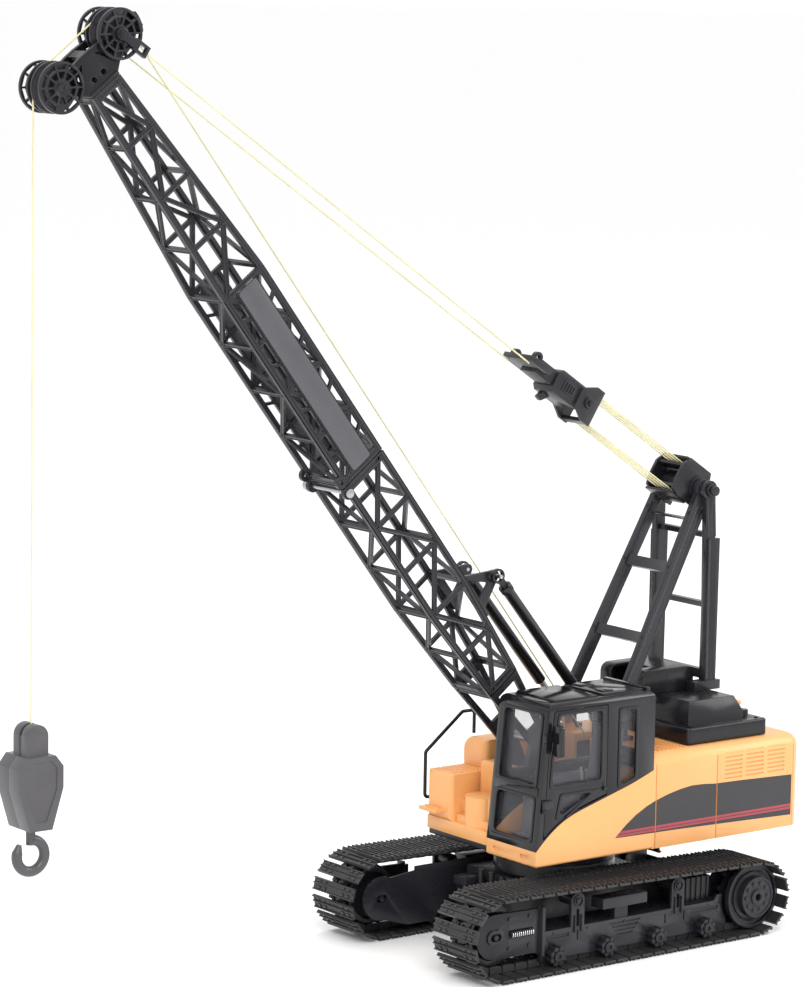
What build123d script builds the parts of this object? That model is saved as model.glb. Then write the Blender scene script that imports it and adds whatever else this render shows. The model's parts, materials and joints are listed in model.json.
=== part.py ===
from build123d import *
import math
import os

# Toy crawler crane with a lattice boom, 1:14 class, millimetres.
# +X points forward (the way the boom leans), +Y to the operator's left, +Z up.
# The origin is on the ground under the slewing axis.

# ---- running gear -------------------------------------------------------
TRACK_WIDTH = 190.0        # over both tracks
SHOE_WIDTH = 48.0
SHOE_REACH = 6.0           # pitch line to the tip of the grousers
SHOE_THICK = 1.6
GROUSER = 1.4
SPROCKET_TEETH = 12
SPROCKET_PITCH_R = 22.0
SPROCKET_X = -119.0
IDLER_PITCH_R = 24.5
IDLER_X_WANTED = 119.0     # the tensioner moves the idler until the chain closes
PIN_R = 1.0
EAR_OFFSET = 4.8           # link ear centre from the shoe's centre line
EAR_THICK = 3.0
ROLLER_R = 7.4
ROLLER_X = [66.6, 20.0, -27.0, -73.6]
CARRIER_R = 4.5
CARRIER_X = [44.0, -50.0]
AXLE_R = 2.0
FRAME_TOP = 28.0
FRAME_BOTTOM = 7.2
FRAME_FRONT = 78.0
FRAME_REAR = -97.0
PLATE = 2.5                # wall of the track frames
NOSE_R = 16.0              # rounded end plates round the idler axle

# ---- superstructure -----------------------------------------------------
DECK_Z = 70.0              # underside of the body
DECK_THICK = 4.0
RING_R = 44.0              # slewing ring, outside
RING_BORE = 36.0
BODY_REAR = -184.0
BODY_HALF = 66.0
BODY_TOP = 139.0
CORNER_R = 14.0
RIM_R = 10.0                 # rounding of the body's upper edges
WALL = 2.5
CAB_INNER_Y = 10.5
CAB_REAR = -36.0
CAB_FRONT = 72.0
CAB_TOP = 186.0
ROOF_FRONT = 62.0
WELL_RIGHT = -38.5         # right edge of the boom well
ARM_FRONT = 36.0           # right side of the body ends here
HOOD_FRONT = -77.0
HOOD_REAR = -155.0
HOOD_HALF = 56.0

# ---- boom, in its own frame: u along the boom, v square to it -----------
BOOM_Y = -14.0             # centre plane of boom, gantry and hook
FOOT_X = 20.8
FOOT_Z = 144.9
BOOM_ANGLE = 52.0
FIRST_NODE = 58.5
BAY = 41.5
LOWER_BAYS = 5
STRAIGHT_BAYS = 4
TAPER_BAYS = 4
HALF_WIDTH = 22.0
TIP_HALF_WIDTH = 11.0
HALF_DEPTH = 20.0
BASE_HALF_DEPTH = 14.8
TIP_HALF_DEPTH = 13.0
FOOT_HALF_DEPTH = 8.0
LATTICE = 3.2              # thickness of the side and top lattices
CHORD = 4.2
BRACE = 3.0
SECTION_GAP = 0.3
SHEAVE_R = 17.0
GROOVE_R = 13.0
SPOKE = 1.3                 # spokes of the sheaves' flanges
SHEAVE_V = 28.0            # sheave axles above and below the boom's axis
HEAD_REACH = 20.5          # sheave axles beyond the last lattice node
SHEAVE_AXLE_R = 2.0
SHAFT_PLAY = 0.06          # radial play of every turning shaft
SIDE_PLAY = 0.4            # side play between parts that move past each other

# ---- gantry, suspension and ropes --------------------------------------
GANTRY_X = -128.0
GANTRY_Z = 318.0
GANTRY_TOP_HALF = 22.0
GANTRY_FOOT_HALF = 29.0
LEG_FOOT_X = -47.0
REAR_POST_X = -131.0
POST = 6.0
HEAD_AXLE_R = 3.0
BRIDLE_REAR = 116.0        # from the gantry axle, along the suspension line
BRIDLE_FRONT = 190.0
ROPE_R = 0.6
ROPE_SPREAD = 12.0         # half distance between the two pendants
STRUT_Y = 20.0
STRUT_R = 4.2
STRUT_FOOT = (-37.0, 149.0)
STRUT_PIN_U = 124.0
STRUT_PIN_V = 43.0
HOOK_BLOCK_TOP = 201.0     # height of the lug above the ground

PARTS = {}


def keep(name, *solids):
    PARTS[name] = list(solids)


def box(x0, x1, y0, y1, z0, z1):
    return Pos((x0 + x1) / 2, (y0 + y1) / 2, (z0 + z1) / 2) * Box(abs(x1 - x0), abs(y1 - y0), abs(z1 - z0))


def rod(p, q, r):
    p, q = Vector(*p), Vector(*q)
    return Plane(origin=p, z_dir=q - p) * Cylinder(r, (q - p).length, align=(Align.CENTER, Align.CENTER, Align.MIN))


def disc(x, z, r, y0, y1):
    return rod((x, min(y0, y1), z), (x, max(y0, y1), z), r)


def ring(x, z, r, bore, y0, y1):
    return disc(x, z, r, y0, y1) - disc(x, z, bore, y0 - 1, y1 + 1)


def side_plate(points, y0, y1):
    """Flat plate between two heights in Y, from an outline in the XZ plane."""
    face = Face(Wire.make_polygon([(x, min(y0, y1), z) for x, z in points], close=True))
    return extrude(face, amount=abs(y1 - y0), dir=(0, 1, 0))


def bar(p, q, wide, thick, side=(0, 1, 0)):
    """Square-ended bar from p to q: wide along side, thick across it."""
    p, q = Vector(*p), Vector(*q)
    frame = Plane(origin=p, x_dir=Vector(*side), z_dir=q - p)
    return frame * Box(wide, thick, (q - p).length, align=(Align.CENTER, Align.CENTER, Align.MIN))


def mirror_y(shape):
    return mirror(shape, about=Plane.XZ)


# ---- tracks -------------------------------------------------------------

IDLER_Z = IDLER_PITCH_R + SHOE_REACH
SPROCKET_Z = SPROCKET_PITCH_R + SHOE_REACH
TRACK_Y = (TRACK_WIDTH - SHOE_WIDTH) / 2
PITCH = 2 * math.pi * SPROCKET_PITCH_R / SPROCKET_TEETH


def chain_loop(idler_x):
    """Lengths of the bottom run, idler wrap, top run and sprocket wrap, and the upper tangent's angle."""
    dx, dz = idler_x - SPROCKET_X, IDLER_Z - SPROCKET_Z
    centres = math.hypot(dx, dz)
    tangent = math.atan2(dz, dx) + math.acos((SPROCKET_PITCH_R - IDLER_PITCH_R) / centres)
    return (dx, IDLER_PITCH_R * (tangent + math.pi / 2),
            math.sqrt(centres ** 2 - (IDLER_PITCH_R - SPROCKET_PITCH_R) ** 2),
            SPROCKET_PITCH_R * (1.5 * math.pi - tangent), tangent)


LINKS = round(sum(chain_loop(IDLER_X_WANTED)[:4]) / PITCH)
IDLER_X = IDLER_X_WANTED + (LINKS * PITCH - sum(chain_loop(IDLER_X_WANTED)[:4])) / 2


def carrier_z(x):
    """Height of a return roller that just clears the ears of the top run."""
    rear, front = SPROCKET_Z + SPROCKET_PITCH_R, IDLER_Z + IDLER_PITCH_R
    return rear + (front - rear) * (x - SPROCKET_X) / (IDLER_X - SPROCKET_X) - 2.8 - CARRIER_R


def chain_point(s):
    """Point of the pitch line at distance s from under the sprocket axle, forward along the ground."""
    bottom, front, top, rear, tangent = chain_loop(IDLER_X)
    if s < bottom:
        return SPROCKET_X + s, SHOE_REACH
    s -= bottom
    if s < front:
        a = -math.pi / 2 + s / IDLER_PITCH_R
        return IDLER_X + IDLER_PITCH_R * math.cos(a), IDLER_Z + IDLER_PITCH_R * math.sin(a)
    s -= front
    if s < top:
        start = (IDLER_X + IDLER_PITCH_R * math.cos(tangent), IDLER_Z + IDLER_PITCH_R * math.sin(tangent))
        end = (SPROCKET_X + SPROCKET_PITCH_R * math.cos(tangent), SPROCKET_Z + SPROCKET_PITCH_R * math.sin(tangent))
        return tuple(a + (b - a) * s / top for a, b in zip(start, end))
    a = tangent + (s - top) / SPROCKET_PITCH_R
    return SPROCKET_X + SPROCKET_PITCH_R * math.cos(a), SPROCKET_Z + SPROCKET_PITCH_R * math.sin(a)


def track_link():
    """One shoe, as it lies on the ground, with its pitch line at the origin."""
    half = SHOE_WIDTH / 2
    plate_top = -SHOE_REACH + GROUSER + SHOE_THICK
    length = PITCH - 1.9
    shoe = box(-length / 2, length / 2, -half, half, plate_top - SHOE_THICK, plate_top)
    ridges = [box(x - 0.6, x + 0.6, -half, half, -SHOE_REACH, plate_top - SHOE_THICK)
              for x in (-length / 2 + 0.6, 0.4, length / 2 - 0.6)]
    ears = [box(-PITCH / 2 - 1.9, PITCH / 2 - 2.6, y - EAR_THICK / 2, y + EAR_THICK / 2, plate_top, 2.4)
            for y in (-EAR_OFFSET, EAR_OFFSET)]
    lugs = [box(PITCH / 2 - 3.2, PITCH / 2 + 1.2, y - 0.9, y + 0.9, plate_top, 0.9)
            for y in (-EAR_OFFSET + 2.6, EAR_OFFSET - 2.6)]
    pin = rod((PITCH / 2, -EAR_OFFSET - 1.4, 0), (PITCH / 2, EAR_OFFSET + 1.4, 0), PIN_R)
    holes = [rod((-PITCH / 2, -9, 0), (-PITCH / 2, 9, 0), PIN_R + 0.25)]
    holes += [rod((1.9, y, -9), (1.9, y, 0), 0.7) for y in (-EAR_OFFSET - 6, EAR_OFFSET + 6)]
    gap = box(-PITCH / 2 - 3, -PITCH / 2 + 2.6, -EAR_OFFSET + 1.4, EAR_OFFSET - 1.4, plate_top + 0.2, 3)
    return shoe + ridges + ears - gap - holes + lugs + pin


def track(side):
    link = track_link()
    links = []
    for k in range(LINKS):
        x0, z0 = chain_point(k * PITCH)
        x1, z1 = chain_point((k + 1) % LINKS * PITCH)
        turn = -math.degrees(math.atan2(z1 - z0, x1 - x0))
        links.append(link.moved(Location(((x0 + x1) / 2, side * TRACK_Y, (z0 + z1) / 2), (0, turn, 0))))
    return links


OUTER_FACE = TRACK_Y + 9.0      # outer face of the frame's side panel
INNER_FACE = TRACK_Y - 21.0     # face towards the car body
OUTER_ROLLER = (OUTER_FACE + SIDE_PLAY, OUTER_FACE + 8.0)
INNER_ROLLER = (INNER_FACE + PLATE + 1.6, TRACK_Y - EAR_OFFSET - EAR_THICK / 2 - 0.8)


def nose_plate(y0, y1):
    body = side_plate([(FRAME_FRONT, IDLER_Z - NOSE_R), (IDLER_X, IDLER_Z - NOSE_R),
                       (IDLER_X, IDLER_Z + NOSE_R), (FRAME_FRONT, IDLER_Z + NOSE_R - 1)], y0, y1)
    return body + disc(IDLER_X, IDLER_Z, NOSE_R, y0, y1)


def track_frame():
    """Left frame: side panel, inner plate, top plate, idler noses, roller posts and step."""
    y_out, y_in = OUTER_FACE, INNER_FACE
    panel = side_plate([(FRAME_FRONT, FRAME_BOTTOM), (FRAME_FRONT, FRAME_TOP), (FRAME_REAR + 12, FRAME_TOP),
                        (FRAME_REAR + 9, FRAME_TOP + 4), (FRAME_REAR, FRAME_TOP + 4),
                        (FRAME_REAR, FRAME_BOTTOM)], y_out - PLATE, y_out)
    inner = side_plate([(IDLER_X - 4, 14), (IDLER_X - 4, 44), (88, 47), (88, 50), (-92, 50), (-92, 8), (95, 8)],
                       y_in, y_in + PLATE)
    inner += disc(IDLER_X, IDLER_Z, NOSE_R, y_in, y_in + PLATE)
    top = box(FRAME_REAR, FRAME_FRONT, y_in, y_out, FRAME_TOP - PLATE, FRAME_TOP)
    flange = box(FRAME_FRONT - 1, FRAME_FRONT + 1.5, y_out - PLATE, y_out + 4, 12, 47)
    neck = box(FRAME_FRONT - 4, FRAME_FRONT + 6, y_out - PLATE, y_out, 14, IDLER_Z + NOSE_R - 2)
    frame = panel + [inner, top, flange, neck, nose_plate(y_out - PLATE, y_out)]
    # forked posts that carry the return rollers
    for x in CARRIER_X:
        z = carrier_z(x)
        frame += box(x - 6, x - 1.2, y_out - PLATE, y_out, FRAME_TOP - 1, z)
        frame += box(x + 1.2, x + 6, y_out - PLATE, y_out, FRAME_TOP - 1, z)
        frame += box(x - 6, x + 6, y_out - PLATE, y_out, z - 6, z + 2)
        frame += disc(x, z, 6, y_out - PLATE, y_out)
        frame += ring(x, z, 4.2, 3.4, y_out - 1, y_out + 1)
        frame += [box(x + dx - 0.5, x + dx + 0.5, y_out, y_out + 1.4, FRAME_TOP - 4, FRAME_TOP + 8) for dx in (-3, 3)]
        frame -= disc(x, z, AXLE_R + SHAFT_PLAY, y_out - 20, y_out + 3)
    # step on the left of the frame
    frame += box(-16, 25, y_out - 8, y_out + 5, 38, 45.5)
    frame += box(-4, 8, y_out - 6, y_out - 2, FRAME_TOP - 1, 39)
    # pressed slots and ribs of the panel
    for x0, x1 in ((52, 73), (-89, -62)):
        frame -= box(x0, x1, y_out - 0.9, y_out + 1, 22, 24.6)
        frame += box(x0 + 1, x1 - 1, y_out - 1, y_out + 0.5, 20.6, 21.6)
    for k in range(4):
        frame -= box(-14 + 2.2 * k, 14 - 2.2 * k, y_out - 0.8, y_out + 1, 24.4 - 2.8 * k, 25.6 - 2.8 * k)
    for x in (44, -38, -56):
        frame -= box(x - 0.6, x + 0.6, y_out - 0.8, y_out + 1, 18, 25)
    # slotted idler bearing and its raised collar
    slot = disc(IDLER_X - 2, IDLER_Z, AXLE_R + 0.6, y_in - 1, y_out + 4)
    slot += disc(IDLER_X + 2, IDLER_Z, AXLE_R + 0.6, y_in - 1, y_out + 4)
    slot += box(IDLER_X - 2, IDLER_X + 2, y_in - 1, y_out + 4, IDLER_Z - AXLE_R - 0.6, IDLER_Z + AXLE_R + 0.6)
    collar = disc(IDLER_X - 2, IDLER_Z, 5.4, y_out - 1, y_out + 1.6)
    collar += disc(IDLER_X + 2, IDLER_Z, 5.4, y_out - 1, y_out + 1.6)
    frame = frame + collar - slot
    groove = box(FRAME_FRONT + 7, IDLER_X - 12.5, y_out - 1.4, y_out + 2, IDLER_Z - 3, IDLER_Z + 3)
    screws = [disc(x, z, 1.5, y_out - 0.5, y_out + 0.7) for x in (FRAME_FRONT + 10, IDLER_X - 13) for z in (20.5, 41.5)]
    frame = frame - groove + screws
    frame -= [disc(x, ROLLER_R + 3.1, AXLE_R + SHAFT_PLAY, y_in - 1, y_out + 1) for x in ROLLER_X]
    frame -= disc(SPROCKET_X, SPROCKET_Z, 26.5, y_in + PLATE + 0.2, y_out + 1)
    # outrigger foot that is screwed to the car body
    frame += box(-40, 40, y_in - 3, y_in, 20, 44)
    return frame


def spring():
    y = OUTER_FACE + 1.2
    rings = [disc_x(FRAME_FRONT + 8.5 + 2.0 * k, y, IDLER_Z, 2.5, 1.0) for k in range(9)]
    return rod((FRAME_FRONT + 7.5, y, IDLER_Z), (IDLER_X - 13.5, y, IDLER_Z), 1.5) + rings


def disc_x(x, y, z, r, width):
    return rod((x - width / 2, y, z), (x + width / 2, y, z), r)


def idler():
    y = TRACK_Y
    wheel = disc(IDLER_X, IDLER_Z, IDLER_PITCH_R - PIN_R - 1.0, y - 2.6, y + 2.6)
    wheel += ring(IDLER_X, IDLER_Z, 20.7, 17, y - 9, y + 5.9) + disc(IDLER_X, IDLER_Z, 18, y - 5, y + 3)
    wheel += disc(IDLER_X, IDLER_Z, 5.5, INNER_FACE + PLATE + 0.6, OUTER_FACE - PLATE - 0.4)
    wheel += disc(IDLER_X, IDLER_Z, AXLE_R, INNER_FACE - 1, OUTER_FACE + 2.2)
    return wheel


def sprocket():
    """Toothed centre, dished outer disc and the bolted hub cover."""
    x, z, y = SPROCKET_X, SPROCKET_Z, TRACK_Y
    phase = math.degrees(PITCH / SPROCKET_PITCH_R) / 2
    wheel = disc(x, z, SPROCKET_PITCH_R - PIN_R - 0.6, y - 1.3, y + 1.3)
    for k in range(SPROCKET_TEETH):
        a = math.radians(-90 - phase + k * 360 / SPROCKET_TEETH)
        tip, root = SPROCKET_PITCH_R + 1.2, SPROCKET_PITCH_R - 4
        wheel += bar((x + root * math.cos(a), y, z + root * math.sin(a)),
                     (x + tip * math.cos(a), y, z + tip * math.sin(a)), 2.6, 3.2)
    wheel += disc(x, z, 24.2, y + 9.6, y + 11.2)
    wheel += ring(x, z, 24.2, 21.6, y + 11, y + 14)
    wheel += disc(x, z, 18, y + 6.6, y + 13)
    wheel += disc(x, z, 15, y + 12, y + 19) - disc(x, z, 13.4, y + 18.2, y + 20) + disc(x, z, 6, y + 12, y + 19.6)
    for k in range(10):
        a = math.radians(k * 36)
        wheel += disc(x + 10.2 * math.cos(a), z + 10.2 * math.sin(a), 1.5, y + 12, y + 19)
    wheel -= disc(x, z, 2.6, y + 14, y + 21)
    wheel += disc(x, z, 8, y - 5, y + 8) + disc(x, z, 24.0, y - 11, y - 9)
    wheel += disc(x, z, 3, INNER_FACE + PLATE + 2, y + 10)
    return wheel


def road_wheel(x):
    """Track roller: flanged inner roller, axle and the eight-lobed outer roller."""
    z = ROLLER_R + 3.1
    y0, y1 = OUTER_ROLLER
    wheel = disc(x, z, AXLE_R, INNER_FACE + PLATE + 0.5, y1 - 1) + disc(x, z, ROLLER_R, *INNER_ROLLER)
    wheel += disc(x, z, 6.2, y0, y1 - 1.4) + ring(x, z, 4.0, 1.6, y1 - 2, y1)
    for k in range(8):
        a = math.radians(22.5 + 45 * k)
        wheel += disc(x + 5.7 * math.cos(a), z + 5.7 * math.sin(a), 1.7, y0, y1 - 0.8)
    return wheel


def carrier(x):
    y1, z = OUTER_FACE - PLATE - SIDE_PLAY, carrier_z(x)
    return disc(x, z, CARRIER_R, y1 - 14, y1) + disc(x, z, AXLE_R, y1 - 18, OUTER_FACE + 0.8)


def track_motor():
    y0, y1 = INNER_FACE + PLATE, OUTER_FACE - 6
    case = box(-86, -57, y0, y1, FRAME_TOP, 46)
    return case + [box(-84 + 5 * k, -82 + 5 * k, y0, y1 + 1.2, FRAME_TOP + 1, 46.6) for k in range(5)]


def car_body():
    inner = INNER_FACE - 3
    body = box(-52, 52, -36, 36, 14, 50) + box(-40, 40, -inner, inner, 20, 44)
    body += rod((0, 0, 48), (0, 0, 59), 44) + box(52, 66, -30, 30, 20, 40) + box(-66, -52, -30, 30, 20, 40)
    body += [box(54, 70, y - 7, y + 7, 40, 46) for y in (-22, 22)]
    body += [rod((58, y, 34), (58, y, 52), 2.2) for y in (-12, 0, 12)]
    return body - rod((0, 0, 30), (0, 0, 70), 8) - box(-44, 44, -30, 30, 0, 30)


# ---- superstructure -----------------------------------------------------

def slew_ring():
    return rod((0, 0, 59), (0, 0, DECK_Z - 1), RING_R) - rod((0, 0, 58), (0, 0, 80), RING_BORE)


def deck():
    """Floor plate of the superstructure with the slewing boss and the ears that hold the boom foot."""
    edge = BODY_HALF - WALL - 0.4
    plate = box(BODY_REAR + WALL + 12, CAB_FRONT - WALL - 3, -edge, edge, DECK_Z, DECK_Z + DECK_THICK)
    plate += rod((0, 0, 59.4), (0, 0, DECK_Z + 1), RING_BORE - SHAFT_PLAY - 0.2)
    plate -= rod((0, 0, 50), (0, 0, 90), 7)
    pedestal = box(2, 32, BOOM_Y - 18.4, BOOM_Y + 18.4, DECK_Z + 2, 124)
    pedestal -= box(5, 29, BOOM_Y - 13, BOOM_Y + 13, DECK_Z + DECK_THICK, 130)
    plate += pedestal
    for s in (-1, 1):
        y0, y1 = BOOM_Y + s * 14.0, BOOM_Y + s * 18.4
        ear = side_plate([(4, 120), (32, 120), (FOOT_X + 6, FOOT_Z), (FOOT_X - 6, FOOT_Z)], y0, y1)
        plate += ear + disc(FOOT_X, FOOT_Z, 6.2, y0, y1)
    plate -= disc(FOOT_X, FOOT_Z, 3.0 + SHAFT_PLAY, BOOM_Y - 40, BOOM_Y + 40)
    return plate


SILL = [(CAB_FRONT, 81.5), (60, 92.5), (46, 101.5), (30, 107.5), (3, 115), (-17, 121), (CAB_REAR, 128)]


def sill_curve(y):
    return Spline(*[(x, y, z) for x, z in SILL])


def sill_profile(y, bottom):
    curve = sill_curve(y)
    lines = [Line((CAB_REAR, y, 128), (CAB_REAR, y, bottom)), Line((CAB_REAR, y, bottom), (CAB_FRONT, y, bottom)),
             Line((CAB_FRONT, y, bottom), (CAB_FRONT, y, 81.5))]
    return Face(Wire([curve.edge()] + [line.edge() for line in lines]))


def body_shell():
    """Painted casing: engine house, right-hand arm and the sill that the cab stands on."""
    house = box(BODY_REAR, CAB_REAR, -BODY_HALF, BODY_HALF, DECK_Z, BODY_TOP)
    corners = [e for e in house.edges().filter_by(Axis.Z) if e.center().X < BODY_REAR + 1]
    house = fillet(corners, CORNER_R)
    rim = [e for e in house.edges() if e.center().Z > BODY_TOP - 0.1 and e.center().X < CAB_REAR - 1]
    house = fillet(rim, RIM_R)
    arm = box(CAB_REAR - 8, ARM_FRONT, -BODY_HALF, WELL_RIGHT, DECK_Z, BODY_TOP)
    arm = fillet([e for e in arm.edges().filter_by(Axis.X) if e.center().Z > BODY_TOP - 1 and e.center().Y < -60],
                 RIM_R)
    arm = fillet([e for e in arm.edges() if e.center().X > ARM_FRONT - 0.1 and e.center().Z > DECK_Z + 20], 5)
    hollow = box(BODY_REAR + WALL, CAB_REAR - WALL, -BODY_HALF + WALL, BODY_HALF - WALL, DECK_Z - 1, BODY_TOP - 6)
    hollow = fillet([e for e in hollow.edges().filter_by(Axis.Z) if e.center().X < BODY_REAR + 9], CORNER_R - WALL)
    sill = extrude(sill_profile(CAB_INNER_Y, DECK_Z), amount=BODY_HALF - CAB_INNER_Y, dir=(0, 1, 0))
    sill = fillet([e for e in sill.edges() if abs(e.center().Z - DECK_Z) < 0.1 and e.center().X < CAB_FRONT - 1
                   and e.center().Y > BODY_HALF - 1 or abs(e.center().Z - DECK_Z) < 0.1
                   and e.center().X > CAB_FRONT - 1], 2)
    shell = house + [arm, sill]
    shell -= hollow
    shell -= box(CAB_REAR - WALL - 1, ARM_FRONT - WALL, -BODY_HALF + WALL, WELL_RIGHT - WALL, DECK_Z - 1, BODY_TOP - 6)
    shell -= box(CAB_REAR, CAB_FRONT - WALL, CAB_INNER_Y + WALL, BODY_HALF - WALL, DECK_Z - 3, BODY_TOP + 1)
    edge = BODY_HALF - WALL - 0.35
    shell -= box(BODY_REAR + WALL + 11, CAB_FRONT - WALL - 2.6, -edge, edge, DECK_Z - 1, DECK_Z + DECK_THICK + 0.05)
    # panel gaps, louvres, rope slot and the charging bay
    y = BODY_HALF
    for x in (-38.8, -97.5, -173.0):
        shell -= box(x - 0.4, x + 0.4, y - 0.8, y + 1, DECK_Z - 1, BODY_TOP - 7)
        shell -= box(x - 0.4, x + 0.4, -y - 1, -y + 0.8, DECK_Z - 1, BODY_TOP - 7)
    for row in range(7):
        for column in range(3):
            x = -164 + 21 * column
            z = 113 + 3.1 * row
            for s in (-1, 1):
                shell -= box(x, x + 17, s * (y - 0.8), s * (y + 1), z, z + 1.1)
    shell -= box(-109, -101, y - 3, y + 1, 89, 97)
    shell -= [box(CAB_FRONT - 1.5, CAB_FRONT + 1, yy - 4, yy + 4, 74.5, 77.5) for yy in (22, 52)]
    shell -= box(-34, ARM_FRONT, WELL_RIGHT, CAB_INNER_Y, 90, 160)
    shell -= box(-64, CAB_REAR + 3, BOOM_Y - 9, BOOM_Y + 9, BODY_TOP - 24, BODY_TOP + 1)
    # tread pattern on the walkway behind the cab
    walkway = []
    for k in range(9):
        walkway += [box(-74 + 4.2 * k, -72.4 + 4.2 * k, 13, 58, BODY_TOP - 0.2, BODY_TOP + 0.6)]
    # lower anchors of the two backstop struts
    lugs = []
    for s in (-1, 1):
        x, z = STRUT_FOOT
        y = BOOM_Y + s * STRUT_Y
        lug = side_plate([(x - 10, BODY_TOP - 0.5), (CAB_REAR - 0.2, BODY_TOP - 0.5), (x + 3.4, z), (x - 3.4, z)],
                         y - 1.5, y + 1.5)
        lugs.append(lug + disc(x, z, 3.4, y - 1.5, y + 1.5) - disc(x, z, 1.5 + SHAFT_PLAY, y - 9, y + 9))
    return shell + walkway + lugs


def charge_socket():
    y = BODY_HALF
    body = box(-108.8, -101.2, y - 9, y - 1.5, 89.2, 96.8)
    return body - disc(-105, 93, 1.75, y - 7, y)


def engine_hood():
    base = box(HOOD_REAR, HOOD_FRONT, -HOOD_HALF, HOOD_HALF, BODY_TOP + 0.6, 151.5)
    base = fillet(base.edges().filter_by(Axis.Z), 3)
    base = chamfer([e for e in base.edges() if e.center().Z > 151], 1.0)
    skirt = box(-136, -82, -50, 50, 151, 158)
    lower = Face(Wire.make_polygon([(-136, -50, 158), (-82, -50, 158), (-82, 50, 158), (-136, 50, 158)], close=True))
    upper = Face(Wire.make_polygon([(-131, -45, 169), (-87, -45, 169), (-87, 45, 169), (-131, 45, 169)], close=True))
    top = loft([lower, upper])
    hood = base + [skirt, top]
    hood += rod((-146, 38, 150), (-146, 38, 156), 4.5)
    return hood - box(HOOD_REAR + 3, HOOD_FRONT - 3, -HOOD_HALF + 3, HOOD_HALF - 3, BODY_TOP, 149)


def front_platform():
    """Right-hand tank block with tread plate, foot step and the rounded casing beside the boom well."""
    z0, z1 = 84.0, 118.5
    block = box(ARM_FRONT + 0.3, 71, -61, -33, z0, z1)
    block = fillet([e for e in block.edges() if e.center().X > 70.5], 4)
    step = box(58, 79, -60, -40, 90, 92.4) + box(60, 68, -58, -42, 84.5, 91)
    barrel = box(48, 66, -32, 6, 78, 90) + rod((57, -13, 78), (57, -13, 106), 13) + box(44, 62, -13, 6, 84, 106)
    barrel = barrel & box(40, 72, -32.7, 8, 70, 110)
    mast = box(38, 46, -30, 8, 78, 128)
    mast = fillet([e for e in mast.edges().filter_by(Axis.X) if e.center().Z > 127], 4)
    web = box(44, 60, -34, -25, 84, 100)
    floor = box(38, 70, -61, 8, 75, 84.5)
    tread = []
    for k in range(8):
        tread += [box(40 + 3.6 * k, 41.5 + 3.6 * k, -58, -36, z1 - 0.2, z1 + 0.7)]
    steps = [box(61 + 4 * k, 62.6 + 4 * k, -58, -43, 92.2, 93.2) for k in range(4)]
    return block + [step, barrel, mast, web, floor] + tread + steps


def handrail():
    y = -62.6
    path = FilletPolyline((66, y, 97), (71.6, y, 97), (71.6, y, 130.7), (38, y, 157), (27, y, 157), (27, y, 139.8),
                          radius=3.0)
    tube = sweep(Plane(origin=(66, y, 97), z_dir=(1, 0, 0)) * Circle(1.3), path=path)
    return tube + rod((66, y, 97), (66, -61.1, 97), 1.3)


# ---- cab ----------------------------------------------------------------

def cab_outline(inset):
    """Closed side outline of the cab above the sill, drawn in by inset."""
    i = inset
    y = CAB_INNER_Y + i
    curve = Spline(*[(x, y, z + i) for x, z in SILL])
    a, b = curve @ 0, curve @ 1
    front_top = Vector(ROOF_FRONT - i, y, CAB_TOP - i)
    rear_top = Vector(CAB_REAR + i, y, CAB_TOP - i)
    lines = [Line(b, rear_top), Line(rear_top, front_top), Line(front_top, a)]
    return Face(Wire([curve.edge()] + [line.edge() for line in lines]))


def front_face(z):
    """X of the leaning front of the cab at height z."""
    return CAB_FRONT - (CAB_FRONT - ROOF_FRONT) * (z - 81.5) / (CAB_TOP - 81.5)


def cab_prism(inset, y0, y1):
    face = cab_outline(inset)
    return Pos(0, y0 - CAB_INNER_Y - inset, 0) * extrude(face, amount=y1 - y0, dir=(0, 1, 0))


SIDE_WINDOW = [(13, 127), (60, 127), (58, 150), (53, 178), (13, 178)]
LOW_WINDOW = [(54, 103), (50, 120), (16, 120), (34, 113)]
QUARTER_WINDOW = [(-19, 125), (-3, 120), (-3, 176), (-19, 176)]


def cab_door_blank(y0, y1, shrink):
    """Door leaf cut to the sill curve, smaller all round by shrink."""
    leaf = side_plate([(8 + shrink, 90), (66.0 - shrink, 90), (62.5 - shrink, 150), (57.8 - shrink, 181 - shrink),
                       (8 + shrink, 181 - shrink)], y0, y1)
    return leaf & Pos(0, 0, 1.5 + 2.6 * shrink) * cab_prism(0.0, CAB_INNER_Y, BODY_HALF + 2)


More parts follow.
